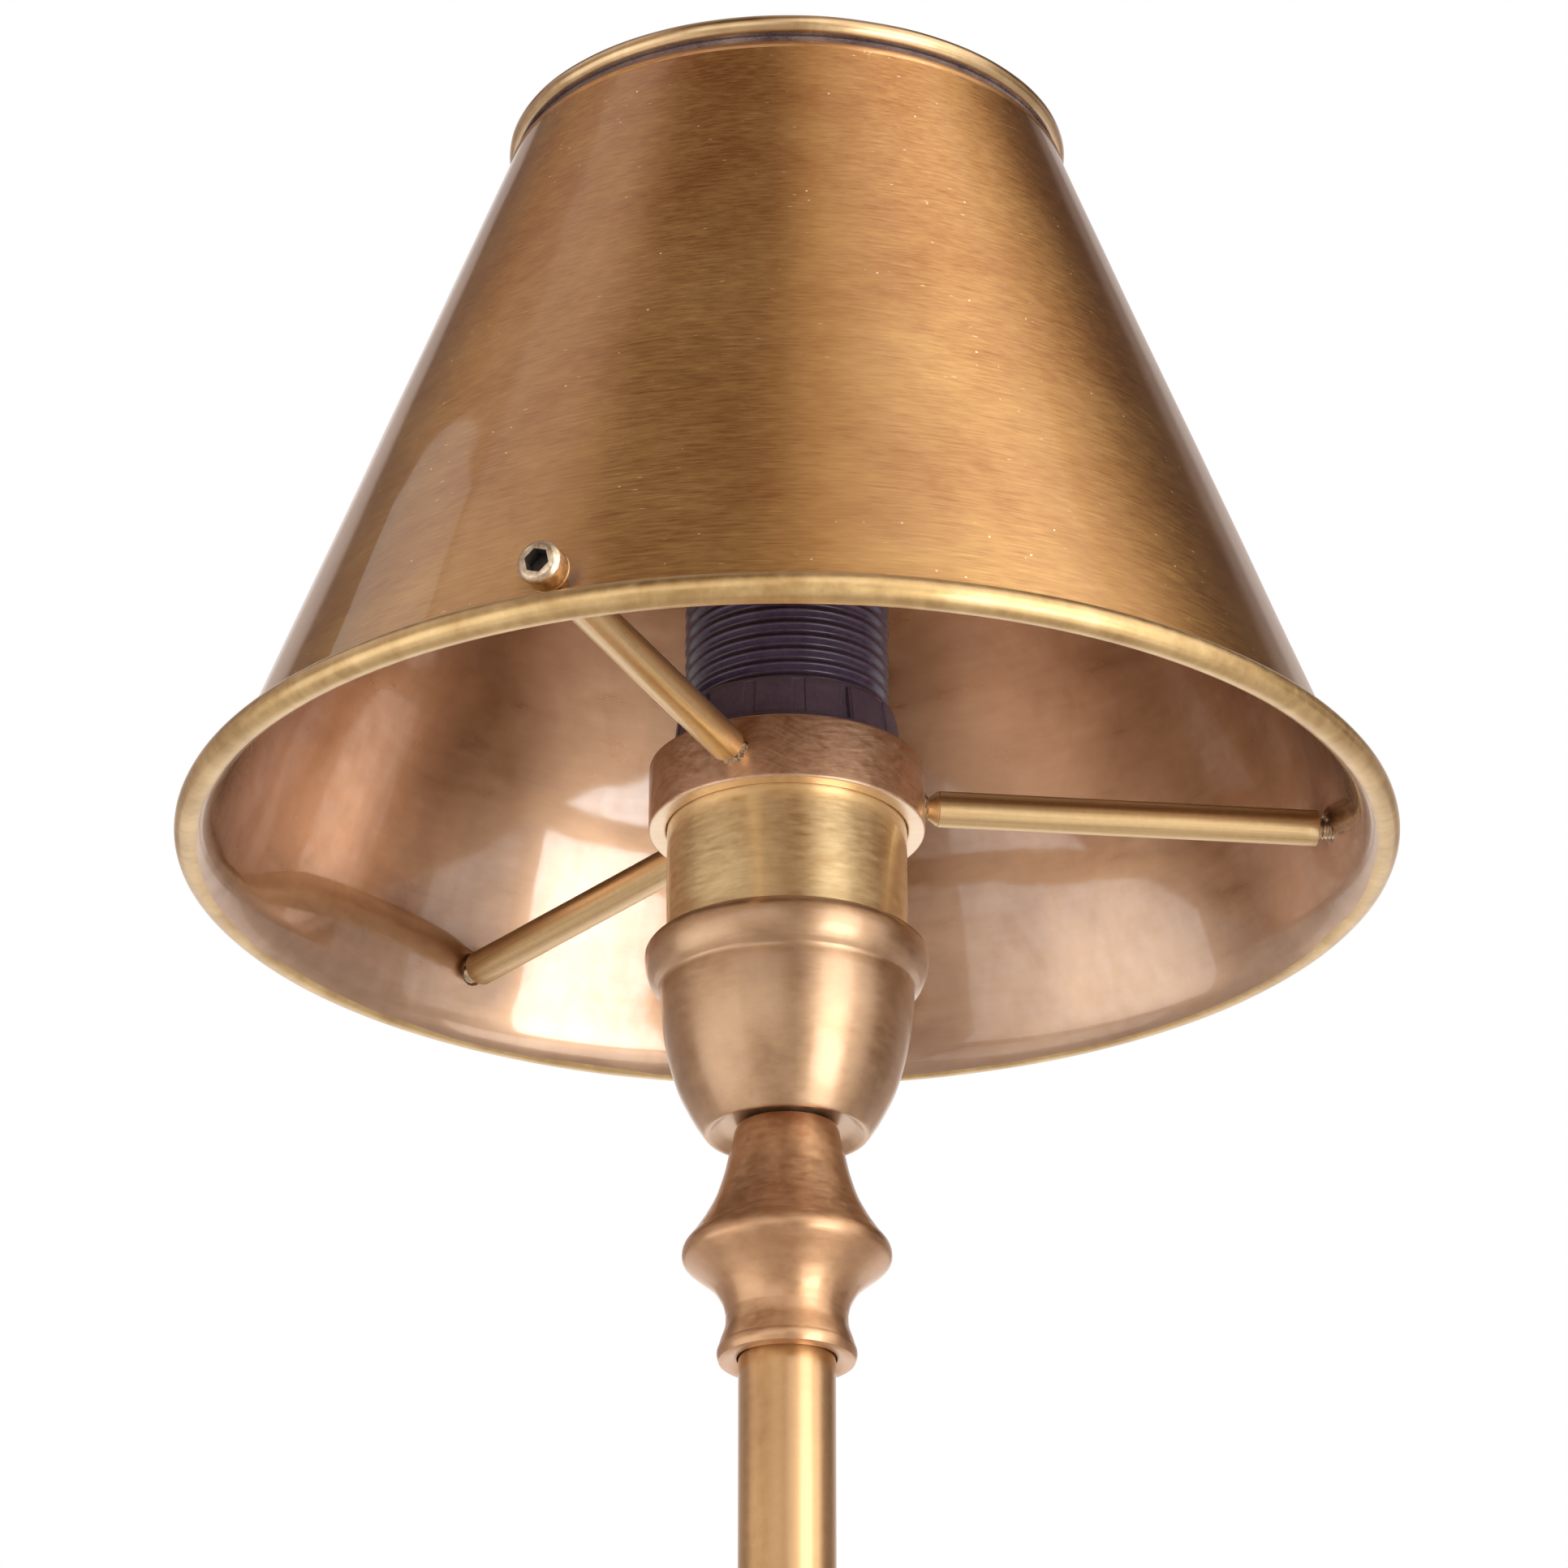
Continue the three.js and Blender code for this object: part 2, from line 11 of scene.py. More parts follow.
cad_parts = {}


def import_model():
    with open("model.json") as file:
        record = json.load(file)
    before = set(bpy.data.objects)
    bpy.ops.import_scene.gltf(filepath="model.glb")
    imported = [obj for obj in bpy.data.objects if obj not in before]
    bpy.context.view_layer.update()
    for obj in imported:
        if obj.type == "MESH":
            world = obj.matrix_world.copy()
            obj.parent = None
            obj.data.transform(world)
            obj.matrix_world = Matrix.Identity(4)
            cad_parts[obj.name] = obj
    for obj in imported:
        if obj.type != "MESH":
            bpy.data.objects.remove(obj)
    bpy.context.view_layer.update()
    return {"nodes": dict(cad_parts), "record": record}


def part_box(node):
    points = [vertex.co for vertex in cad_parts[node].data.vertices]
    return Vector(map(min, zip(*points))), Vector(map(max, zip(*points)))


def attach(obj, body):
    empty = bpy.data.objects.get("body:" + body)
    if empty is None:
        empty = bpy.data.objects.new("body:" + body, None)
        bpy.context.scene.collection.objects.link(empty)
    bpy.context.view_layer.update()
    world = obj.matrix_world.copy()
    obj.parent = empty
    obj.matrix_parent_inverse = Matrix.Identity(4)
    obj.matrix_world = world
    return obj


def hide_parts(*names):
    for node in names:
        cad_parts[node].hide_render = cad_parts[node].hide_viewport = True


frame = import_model()

MM = 0.001


# -------------------------------------------------- places from the frame


def reach(node):
    """Half the width of a CAD node, then its foot and top, in millimetres."""
    low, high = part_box(node)
    return (high.x - low.x) / 2 / MM, low.z / MM, high.z / MM


def middle(node):
    """The centre of a CAD node's box, in metres."""
    low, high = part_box(node)
    return (low + high) / 2


GALLERY = middle("gallery_ring").z / MM  # the plane of the spokes; the head is drawn from here
RING_RADIUS, _, RING_TOP = reach("gallery_ring")
RISER_RADIUS, RISER_FOOT, RISER_TOP = reach("riser_tube")
POLE_RADIUS, POLE_FOOT, POLE_TOP = reach("lower_pole")
BASE_RADIUS, _, BASE_TOP = reach("base_cover")
NUT_FOOT, NUT_TOP = (z - GALLERY for z in reach("shade_ring_nut")[1:])
WALL_FOOT_RADIUS, WALL_FOOT, WALL_TOP = reach("shade_wall")
WALL_FOOT -= GALLERY
WALL_TOP -= GALLERY
SPOKES = {"a": -113, "b": 7, "c": 127}  # degrees from +X towards +Y
SPOKE_RADIUS = 2.5
SPOKE_TIP = 73.7
SHADE_SLOPE = 0.386  # radius lost per millimetre of height
SHADE_SHEET = 0.9
FOOT_FLARE = -4.0  # the foot of the wall starts to turn outwards here, below the spokes' plane
FADE_HEIGHT = 95  # the shade's outside darkens from the spokes' plane up to here
WASHER_FOOT = 77.87  # the screws' washers sit on the wall's outside, this far from the lamp's axis
CLAMP_SCREW_HEIGHT = middle("thumbscrew").z / MM
AIM = Vector((0, 0, (GALLERY + 2.65) * MM))  # the point the camera and the soft boxes face


# -------------------------------------------------- profiles


def arc(centre_r, centre_z, half_r, half_z, start, end, steps=8):
    """Points along an elliptical arc, angles in degrees from the +radius direction."""
    angles = [math.radians(start + (end - start) * i / steps) for i in range(steps + 1)]
    return [(centre_r + half_r * math.cos(a), centre_z + half_z * math.sin(a)) for a in angles]


def flowing(points, steps=5):
    """A smooth curve through the points."""
    ends = [points[0], *points, points[-1]]
    curve = []
    for i in range(1, len(ends) - 2):
        before, a, b, after = (Vector(p) for p in ends[i - 1 : i + 3])
        for k in range(steps):
            t = k / steps
            pull = 2 * a + (b - before) * t
            pull += (2 * before - 5 * a + 4 * b - after) * t * t
            pull += (3 * a - before - 3 * b + after) * t * t * t
            curve.append(tuple(pull / 2))
    return [*curve, tuple(points[-1])]


def eased(points, radius=0.3, steps=3):
    """The closed outline with each corner rounded off; a corner on the axis stays as it is."""
    count = len(points)
    made = []
    for i, point in enumerate(points):
        at = Vector(point)
        if point[0] == 0:
            made.append(point)
            continue
        back = Vector(points[i - 1]) - at
        ahead = Vector(points[(i + 1) % count]) - at
        turn = back.angle(-ahead) if back.length and ahead.length else 0
        if turn < math.radians(12):
            made.append(point)
            continue
        cut = min(radius * math.tan(turn / 2), back.length * 0.42, ahead.length * 0.42)
        start = at + back.normalized() * cut
        end = at + ahead.normalized() * cut
        for k in range(steps + 1):
            t = k / steps
            spot = start * (1 - t) ** 2 + at * 2 * t * (1 - t) + end * t * t
            made.append(tuple(spot))
    return made


def stepped(start, end, count):
    """Points along a straight line, its end left out."""
    a, b = Vector(start), Vector(end)
    return [tuple(a.lerp(b, i / count)) for i in range(count)]


# -------------------------------------------------- meshes


def shaded(mesh, sharp_degrees=38):
    """Smooth shading with sharp edges where faces meet at more than that angle."""
    mesh.shade_smooth()
    mesh.set_sharp_from_angle(angle=math.radians(sharp_degrees))
    return mesh


def piece(name, mesh, materials, body, replaces=(), place=None):
    """A finished mesh as a piece that rides on a body and stands for its CAD nodes."""
    made = bpy.data.objects.new(name, shaded(mesh))
    bpy.context.scene.collection.objects.link(made)
    for material in materials:
        mesh.materials.append(material)
    if place is not None:
        made.matrix_world = place
    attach(made, body)
    if replaces:
        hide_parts(*replaces)
    return made


def lathe(name, profile, sides=160, lift=0.0, shape=None):
    """A mesh turned about Z. The profile (millimetres) runs up the outside and down the inside; it ends
    on the axis or closes on itself. shape(radius, z, angle) may return a changed radius and height."""
    build = bmesh.new()
    closed = profile[0][0] > 0
    rows = []
    for radius, z in profile:
        if radius <= 1e-6:
            rows.append([build.verts.new((0, 0, (z + lift) * MM))])
            continue
        row = []
        for k in range(sides):
            angle = 2 * math.pi * k / sides
            r, h = shape(radius, z, angle) if shape else (radius, z)
            x, y = r * math.cos(angle), r * math.sin(angle)
            row.append(build.verts.new((x * MM, y * MM, (h + lift) * MM)))
        rows.append(row)
    pairs = list(zip(rows, rows[1:]))
    if closed:
        pairs.append((rows[-1], rows[0]))
    for low, high in pairs:
        if len(low) == 1 and len(high) == 1:
            continue
        for k in range(sides):
            n = (k + 1) % sides
            if len(low) == 1:
                build.faces.new((low[0], high[n], high[k]))
            elif len(high) == 1:
                build.faces.new((low[k], low[n], high[0]))
            else:
                build.faces.new((low[k], low[n], high[n], high[k]))
    mesh = bpy.data.meshes.new(name)
    build.normal_update()
    build.to_mesh(mesh)
    build.free()
    return mesh


def inside_second(mesh):
    """Faces that look towards the axis take the second material."""
    for face in mesh.polygons:
        outward = face.center.x * face.normal.x + face.center.y * face.normal.y
        face.material_index = 0 if outward > 0 else 1


def wave(x, y, z, scale):
    """Smooth noise about zero."""
    return noise.noise(Vector((x, y, z)) * scale)


def drilled(mesh, others):
    """The mesh with each of the other meshes cut out of it."""
    base = bpy.data.objects.new("work", mesh)
    bpy.context.scene.collection.objects.link(base)
    tools = []
    for i, other in enumerate(others):
        tool = bpy.data.objects.new(f"tool_{i}", other)
        bpy.context.scene.collection.objects.link(tool)
        change = base.modifiers.new(f"cut_{i}", "BOOLEAN")
        change.operation = "DIFFERENCE"
        change.solver = "EXACT"
        change.object = tool
        tools.append(tool)
    bpy.context.view_layer.update()
    seen = base.evaluated_get(bpy.context.evaluated_depsgraph_get())
    made = bpy.data.meshes.new_from_object(seen)
    for spare in [base, *tools]:
        bpy.data.objects.remove(spare)
    return made


def turned_to(azimuth, z=0.0):
    """A place whose local Z points outwards from the lamp's axis at that azimuth."""
    spin = Matrix.Rotation(math.radians(azimuth), 4, "Z") @ Matrix.Rotation(math.pi / 2, 4, "Y")
    return Matrix.Translation((0, 0, z * MM)) @ spin


# -------------------------------------------------- material nodes


class Finish:
    """A material and short ways to add nodes to it."""

    def __init__(self, name):
        self.material = bpy.data.materials.new(name)
        self.material.use_nodes = True
        self.tree = self.material.node_tree
        self.shader = self.tree.nodes["Principled BSDF"]

    def add(self, kind, inputs=None, **settings):
        made = self.tree.nodes.new(kind)
        for key, value in settings.items():
            setattr(made, key, value)
        for key, value in (inputs or {}).items():
            self.set(made.inputs[key], value)
        return made

    def set(self, socket, value):
        if isinstance(value, bpy.types.NodeSocket):
            self.tree.links.new(value, socket)
        else:
            socket.default_value = value

    def math(self, operation, a, b=0.0, clamp=False):
        return self.add("ShaderNodeMath", {0: a, 1: b}, operation=operation, use_clamp=clamp).outputs[0]

    def range(self, value, low, high, to_low=0.0, to_high=1.0):
        inputs = {"Value": value, "From Min": low, "From Max": high, "To Min": to_low, "To Max": to_high}
        return self.add("ShaderNodeMapRange", inputs).outputs[0]

    def mix(self, factor, a, b):
        made = self.add("ShaderNodeMix", data_type="RGBA")
        for socket, value in zip((made.inputs[0], made.inputs[6], made.inputs[7]), (factor, a, b)):
            self.set(socket, value)
        return made.outputs[2]

    def weighted(self, *pairs):
        """The sum of values, each times its weight."""
        total = None
        for value, weight in pairs:
            part = self.math("MULTIPLY", value, weight)
            total = part if total is None else self.math("ADD", total, part)
        return total

    def scaled(self, vector, factor):
        return self.add("ShaderNodeVectorMath", {0: vector, "Scale": factor}, operation="SCALE").outputs[0]

    def noise(self, vector, scale=1.0, detail=2.0, roughness=0.5, distortion=0.0):
        inputs = {"Vector": vector, "Scale": scale, "Detail": detail}
        inputs.update({"Roughness": roughness, "Distortion": distortion})
        return self.add("ShaderNodeTexNoise", inputs).outputs[0]

    def dots(self, vector, spot, size, rarity):
        """Scattered marks of one size in the cells of the vector, gathered in loose patches."""
        cells = self.add("ShaderNodeTexVoronoi", {"Vector": vector, "Scale": 1.0, "Randomness": 1.0})
        chosen = self.math("GREATER_THAN", self.noise(cells.outputs["Position"], 3.0, 0.0), 0.56)
        patch = self.range(self.noise(spot, 0.05, 2.0), rarity - 0.06, rarity + 0.06)
        core = self.range(cells.outputs["Distance"], size * 0.5, size, 1.0, 0.0)
        return self.math("MULTIPLY", self.math("MULTIPLY", core, chosen), patch)

    def place(self):
        """Object coordinates, in millimetres."""
        return self.scaled(self.add("ShaderNodeTexCoord").outputs["Object"], 1 / MM)

    def round_the_axis(self, spot, around, along, sway=0.0, seed=0.0):
        """Coordinates that run quickly along Z and slowly round it, for turning and brushing marks."""
        parts = self.add("ShaderNodeSeparateXYZ", {0: spot}).outputs
        flat = self.add("ShaderNodeCombineXYZ", {0: parts[0], 1: parts[1], 2: 0.0}).outputs[0]
        unit = self.add("ShaderNodeVectorMath", {0: flat}, operation="NORMALIZE").outputs[0]
        ring = self.scaled(unit, around)
        z = parts[2]
        if sway:
            drift = self.noise(unit, 1.1, 1.0)
            z = self.math("ADD", z, self.math("MULTIPLY", self.math("SUBTRACT", drift, 0.5), sway))
        z = self.math("ADD", self.math("MULTIPLY", z, along), seed)
        up = self.add("ShaderNodeCombineXYZ", {0: 0.0, 1: seed, 2: z}).outputs[0]
        return self.add("ShaderNodeVectorMath", {0: ring, 1: up}, operation="ADD").outputs[0]

    def bump(self, height, strength, distance):
        """A normal from a height, its distance in millimetres."""
        inputs = {"Height": height, "Strength": strength, "Distance": distance * MM}
        return self.add("ShaderNodeBump", inputs).outputs[0]

    def round_tangent(self):
        """Stretched highlights follow the marks round Z."""
        tangent = self.add("ShaderNodeTangent", direction_type="RADIAL", axis="Z").outputs[0]
        self.set(self.shader.inputs["Tangent"], tangent)

    def finish(self, **values):
        """Sets the shader's own sockets; a name's underscores stand for spaces."""
        for key, value in values.items():
            self.set(self.shader.inputs[key.replace("_", " ")], value)
        return self.material


def brass(
    name, dark, light, rough, around, marks, *, lacquer=0.5, grain=0.5, blotch=0.06, stretch=0.0,
    specks=0.0, relief=0.12, coat_rough=0.04, coat_index=1.5, sway=2.0, contrast=0.14, scuffs=0.0,
    darker_up=0.0,
):
    """Lacquered brass with turning or brushing marks round Z and patina blotches.

    around and marks are how quickly the marks change round Z and along it. grain is the marks' share of
    the tone, blotch the patina's scale, sway the marks' waviness (mm), stretch the highlights' length.
    specks adds bright pits, scuffs rubs the lacquer, and darker_up shades the tone towards the top."""
    f = Finish(name)
    spot = f.place()
    fine = f.noise(f.round_the_axis(spot, around, marks, sway, 3.0), 1.0, 3.0, 0.65)
    crossing = f.noise(f.round_the_axis(spot, around * 1.7, marks * 0.55, -1.5 * sway, 11.0), 1.0, 2.0, 0.6)
    broad = f.noise(f.round_the_axis(spot, around * 0.3, marks * 0.06, 0.0, 7.0), 1.0, 3.0, 0.6)
    patina = f.noise(spot, blotch, 4.0, 0.6, 0.4)
    streaks = f.weighted((fine, 0.6), (crossing, 0.4))
    tone = f.weighted((streaks, grain), (broad, 0.15), (patina, 0.85 - grain))
    if darker_up:
        height = f.add("ShaderNodeSeparateXYZ", {0: spot}).outputs[2]
        lift = f.range(height, GALLERY, GALLERY + FADE_HEIGHT, darker_up, -darker_up)
        tone = f.math("ADD", tone, lift)
    shade = f.range(tone, 0.5 - contrast, 0.5 + contrast)
    colour = f.mix(shade, (*dark, 1), (*light, 1))
    roughness = f.range(streaks, 0.3, 0.7, rough * 0.82, rough * 1.2)
    coat = lacquer
    if specks:
        dots = f.dots(f.scaled(spot, 0.42), spot, 0.085, 0.48)
        dashes = f.dots(f.round_the_axis(spot, 12.0, 1.6, 0.0, 5.0), spot, 0.09, 0.46)
        lines = f.dots(f.round_the_axis(spot, 60.0, 0.16, 0.0, 9.0), spot, 0.05, 0.55)
        bright = f.math("MAXIMUM", f.math("MAXIMUM", dots, dashes), f.math("MULTIPLY", lines, 0.6))
        bright = f.math("MULTIPLY", bright, specks)
        colour = f.mix(bright, colour, (0.98, 0.8, 0.55, 1))
        roughness = f.math("ADD", roughness, f.math("MULTIPLY", bright, 0.3))
    if scuffs:
        hatch = f.noise(f.round_the_axis(spot, 30.0, 0.25, 6.0, 1.0), 1.0, 3.0, 0.7)
        rub = f.weighted((hatch, 0.6), (fine, 0.4))
        coat = f.range(rub, 0.4, 0.6, lacquer * (1 - scuffs), lacquer)
    normal = f.bump(streaks, relief, 0.05)
    if scuffs:
        waves = f.noise(spot, 0.11, 2.0)
        crazing = f.weighted((waves, 0.22), (hatch, 0.012))
        f.finish(Coat_Normal=f.bump(crazing, 0.3, 0.4))
    f.round_tangent()
    return f.finish(
        Base_Color=colour, Metallic=1.0, Roughness=roughness, Normal=normal, Anisotropic=stretch,
        Anisotropic_Rotation=0.25, Coat_Weight=coat, Coat_Roughness=coat_rough, Coat_IOR=coat_index,
    )


def plastic(name, dark, light, rough, mottle, height=0.03):
    """Moulded or painted material, faintly clouded, with a fine grit."""
    f = Finish(name)
    spot = f.place()
    cloud = f.noise(spot, 0.15, 4.0, 0.6)
    grit = f.noise(spot, mottle, 3.0, 0.6)
    shade = f.weighted((cloud, 0.6), (grit, 0.4))
    colour = f.mix(f.range(shade, 0.35, 0.65), (*dark, 1), (*light, 1))
    roughness = f.range(grit, 0.3, 0.7, rough * 0.8, rough * 1.25)
    return f.finish(Base_Color=colour, Roughness=roughness, Normal=f.bump(grit, 0.25, height), IOR=1.5)


def metal(name, dark, light, rough, mottle, marks=3.0, height=0.05):
    """Bare metal with turning marks round Z and a mottled tone."""
    f = Finish(name)
    spot = f.place()
    turning = f.noise(f.round_the_axis(spot, 2.0, marks, 0.0, 5.0), 1.0, 2.0, 0.6)
    mottled = f.noise(spot, mottle, 4.0, 0.65)
    shade = f.weighted((turning, 0.5), (mottled, 0.5))
    colour = f.mix(f.range(shade, 0.35, 0.65), (*dark, 1), (*light, 1))
    roughness = f.range(mottled, 0.3, 0.7, rough * 0.75, rough * 1.3)
    return f.finish(
        Base_Color=colour, Metallic=1.0, Roughness=roughness, Normal=f.bump(shade, 0.3, height)
    )


def cast_iron():
    """A rough casting, painted black."""
    f = Finish("cast_iron")
    spot = f.place()
    grit = f.noise(spot, 0.9, 5.0, 0.7)
    cloud = f.noise(spot, 0.05, 3.0, 0.6)
    shade = f.range(f.math("ADD", grit, cloud), 0.8, 1.2)
    colour = f.mix(shade, (0.02, 0.02, 0.022, 1), (0.06, 0.06, 0.065, 1))
    return f.finish(
        Base_Color=colour, Roughness=f.range(grit, 0.3, 0.7, 0.55, 0.85), Normal=f.bump(grit, 0.6, 0.4),
    )


def solder():
    """Lumpy hard solder, scorched brown between its bright spots."""
    f = Finish("solder")
    spot = f.place()
    lumps = f.noise(spot, 1.6, 4.0, 0.7)
    colour = f.mix(f.range(lumps, 0.35, 0.65), (0.14, 0.07, 0.035, 1), (0.62, 0.45, 0.28, 1))
    return f.finish(
        Base_Color=colour, Metallic=1.0, Roughness=f.range(lumps, 0.3, 0.7, 0.25, 0.5),
        Normal=f.bump(lumps, 0.7, 0.4),
    )


def spoke_brass():
    """Brass rod drawn lengthwise, with long faint lines and darker, browner bands."""
    f = Finish("spoke_brass")
    spot = f.place()
    lengthwise = {0: spot, 1: (1.0, 1.0, 0.012)}
    stretched = f.add("ShaderNodeVectorMath", lengthwise, operation="MULTIPLY").outputs[0]
    lines = f.noise(stretched, 2.6, 3.0, 0.6)
    broad = f.noise(stretched, 0.6, 2.0, 0.6)
    pits = f.noise(spot, 1.1, 4.0, 0.7)
    tone = f.weighted((lines, 0.4), (broad, 0.4), (pits, 0.2))
    colour = f.mix(f.range(tone, 0.3, 0.7), (0.48, 0.285, 0.12, 1), (0.78, 0.55, 0.275, 1))
    return f.finish(
        Base_Color=colour, Metallic=1.0, Roughness=f.range(tone, 0.3, 0.7, 0.38, 0.48),
        Normal=f.bump(tone, 0.1, 0.05), Coat_Weight=0.5, Coat_Roughness=0.1,
    )


SHADE_OUTSIDE = brass(
    "shade_brass_outside", (0.34, 0.117, 0.03), (0.65, 0.365, 0.125), 0.38, 14.0, 4.5,
    lacquer=0.75, grain=0.46, blotch=0.045, stretch=0.9, specks=0.9, relief=0.24, contrast=0.18,
    darker_up=0.05,
)
SHADE_INSIDE = brass(
    "shade_brass_inside", (0.335, 0.183, 0.102), (0.57, 0.35, 0.21), 0.31, 5.0, 0.5,
    lacquer=1.0, grain=0.3, blotch=0.05, stretch=0.2, relief=0.05, coat_rough=0.055, coat_index=1.75,
    scuffs=0.35,
)
# a lighter copy of the aged brass for the husk's tube: painted light for the light the shade's inside
# throws on it
HUSK_TUBE_LIT_BRASS = brass(
    "husk_tube_painted_light", (0.76, 0.50, 0.23), (1.0, 0.78, 0.43), 0.42, 4.0, 2.0,
    lacquer=0.8, grain=0.4, blotch=0.09, stretch=0.8, relief=0.04,
)
NECK_BRASS = brass(
    "neck_brass", (0.48, 0.25, 0.122), (0.69, 0.41, 0.22), 0.42, 3.0, 1.2,
    lacquer=0.5, grain=0.4, blotch=0.09, stretch=0.7, relief=0.04,
)
AGED_BRASS = brass(
    "aged_brass", (0.42, 0.235, 0.125), (0.62, 0.39, 0.22), 0.4, 4.0, 1.2,
    lacquer=0.6, coat_rough=0.14, grain=0.4, blotch=0.09, stretch=0.7, relief=0.04,
)
BEAD_BRASS = brass(
    "bead_brass", (0.46, 0.27, 0.095), (0.74, 0.51, 0.235), 0.4, 40.0, 0.8,
    lacquer=0.6, grain=0.3, blotch=0.12, coat_rough=0.12, specks=0.5, sway=0.0,
)
TOP_BEAD_BRASS = brass(
    "top_bead_brass", (0.46, 0.27, 0.11), (0.72, 0.49, 0.24), 0.3, 6.0, 0.5,
    lacquer=1.0, grain=0.3, blotch=0.12, coat_rough=0.1, coat_index=1.6, sway=0.0,
)
RING_BRASS = brass(
    "ring_brass", (0.50, 0.28, 0.16), (0.86, 0.565, 0.37), 0.42, 6.0, 2.2,
    lacquer=0.35, grain=0.45, blotch=0.12, stretch=0.6, relief=0.05, sway=14.0,
)
# a paler copy of the ring's brass for the rim's downward faces: painted highlight
RIM_LIT_BRASS = brass(
    "rim_painted_light", (0.74, 0.51, 0.31), (0.92, 0.74, 0.54), 0.35, 6.0, 2.0, lacquer=0.4, relief=0.04,
)
SCREW_BRASS = brass(
    "screw_brass", (0.34, 0.22, 0.13), (0.86, 0.70, 0.50), 0.34, 2.0, 5.0,
    lacquer=0.4, grain=0.2, blotch=0.8, coat_rough=0.1,
)
TUBE_BRASS = brass(
    "tube_brass", (0.56, 0.31, 0.13), (0.72, 0.43, 0.19), 0.38, 4.0, 0.8,
    lacquer=0.9, grain=0.35, blotch=0.05, stretch=0.8, relief=0.04,
)
BASE_BRASS = brass(
    "base_brass", (0.44, 0.23, 0.095), (0.62, 0.37, 0.17), 0.3, 9.0, 1.6,
    lacquer=0.6, grain=0.4, blotch=0.03, stretch=0.5,
)
BLACK_PLASTIC = plastic("black_plastic", (0.085, 0.054, 0.076), (0.13, 0.09, 0.113), 0.36, 1.5)
GLOSS_PLASTIC = plastic("gloss_plastic", (0.062, 0.036, 0.064), (0.092, 0.058, 0.09), 0.18, 1.2, 0.01)
NYLON = plastic("nylon", (0.60, 0.57, 0.50), (0.70, 0.68, 0.62), 0.5, 0.8)
CERAMIC = plastic("ceramic", (0.74, 0.71, 0.66), (0.82, 0.80, 0.76), 0.22, 0.5)
RUBBER = plastic("rubber", (0.012, 0.012, 0.014), (0.028, 0.028, 0.03), 0.8, 1.2, 0.1)
RAW_BRASS = metal("raw_brass", (0.62, 0.43, 0.17), (0.80, 0.60, 0.28), 0.34, 0.5)
STEEL = metal("steel", (0.42, 0.43, 0.45), (0.60, 0.61, 0.62), 0.34, 0.6)
CAST_IRON = cast_iron()
SPOKE_BRASS = spoke_brass()
SOLDER = solder()
# a dark, flecked painted shade for under the upper bead and the wall's top lip that the bead hides
SEAM_SHADE = plastic("painted_seam_shade", (0.05, 0.025, 0.03), (0.26, 0.17, 0.14), 0.45, 3.0)
# a near-black painted shade for the deep hexagon sockets of the cap screws
SOCKET_SHADE = plastic("painted_socket_shade", (0.02, 0.014, 0.011), (0.075, 0.055, 0.045), 0.5, 2.5)

FINISHES = {
    "aged_brass": AGED_BRASS, "shade_brass": SHADE_OUTSIDE, "bead_brass": BEAD_BRASS,
    "raw_brass": RAW_BRASS, "steel": STEEL, "cast_iron": CAST_IRON, "black_plastic": BLACK_PLASTIC,
    "nylon": NYLON, "ceramic": CERAMIC, "rubber": RUBBER,
}


def finish_cad_nodes():
    """The CAD nodes that stay in view take the finish of their slot in the record."""
    for row in frame["record"]["subparts"]:
        node = frame["nodes"].get(row["node"])
        if node is None:
            continue
        for i in range(max(1, len(node.material_slots))):
            if not node.material_slots:
                node.data.materials.append(None)
            node.material_slots[i].link = "OBJECT"
            node.material_slots[i].material = FINISHES[row["material_slot"]]


# -------------------------------------------------- shade


def wall_radius(z):
    """The wall's outer radius at a height above the spokes' plane."""
    return WALL_FOOT_RADIUS - SHADE_SLOPE * (z - WALL_FOOT)


def ripple(radius, z, angle):
    """The sheet wanders by a tenth of a millimetre and is drawn in a little round each screw."""
    dimple_depth, dimple_reach = 0.55, 3.6
    x, y = math.cos(angle), math.sin(angle)
    wander = wave(x, y, z / 90, 2.1) * 0.16 + wave(x + 4, y, z / 60, 5.3) * 0.04
    fade = max(0, min(1, (z - FOOT_FLARE) / 6, (WALL_TOP - z) / 6))
    drawn = 0
    for azimuth in SPOKES.values():
        off = (angle - math.radians(azimuth) + math.pi) % (2 * math.pi) - math.pi
        apart = math.hypot(off * radius, z)
        drawn += dimple_depth * math.exp(-((apart / dimple_reach) ** 2))
    return radius + wander * fade - drawn * max(0, min(1, (z - FOOT_FLARE) / 2)), z


def bend(start, through, end, steps=10):
    """A smooth turn from start to end, pulled towards the middle point."""
    made = []
    for i in range(steps + 1):
        t = i / steps
        spot = Vector(start) * (1 - t) ** 2 + Vector(through) * 2 * t * (1 - t) + Vector(end) * t * t
        made.append(tuple(spot))
    return made


def screw_hole(azimuth):
    """A tool that drills the wall for a cap screw."""
    mesh = lathe("hole", [(0, 70), (1.9, 70), (1.9, 82), (0, 82)], 32)
    mesh.transform(turned_to(azimuth))
    return mesh


def wire_point(node, angle):
    """A point of a bead's wire section, at that angle from straight outwards."""
    outer, foot, top = reach(node)
    wire = (top - foot) / 2
    return arc(outer - wire, (foot + top) / 2 - GALLERY, wire, wire, angle, angle, 1)[0]


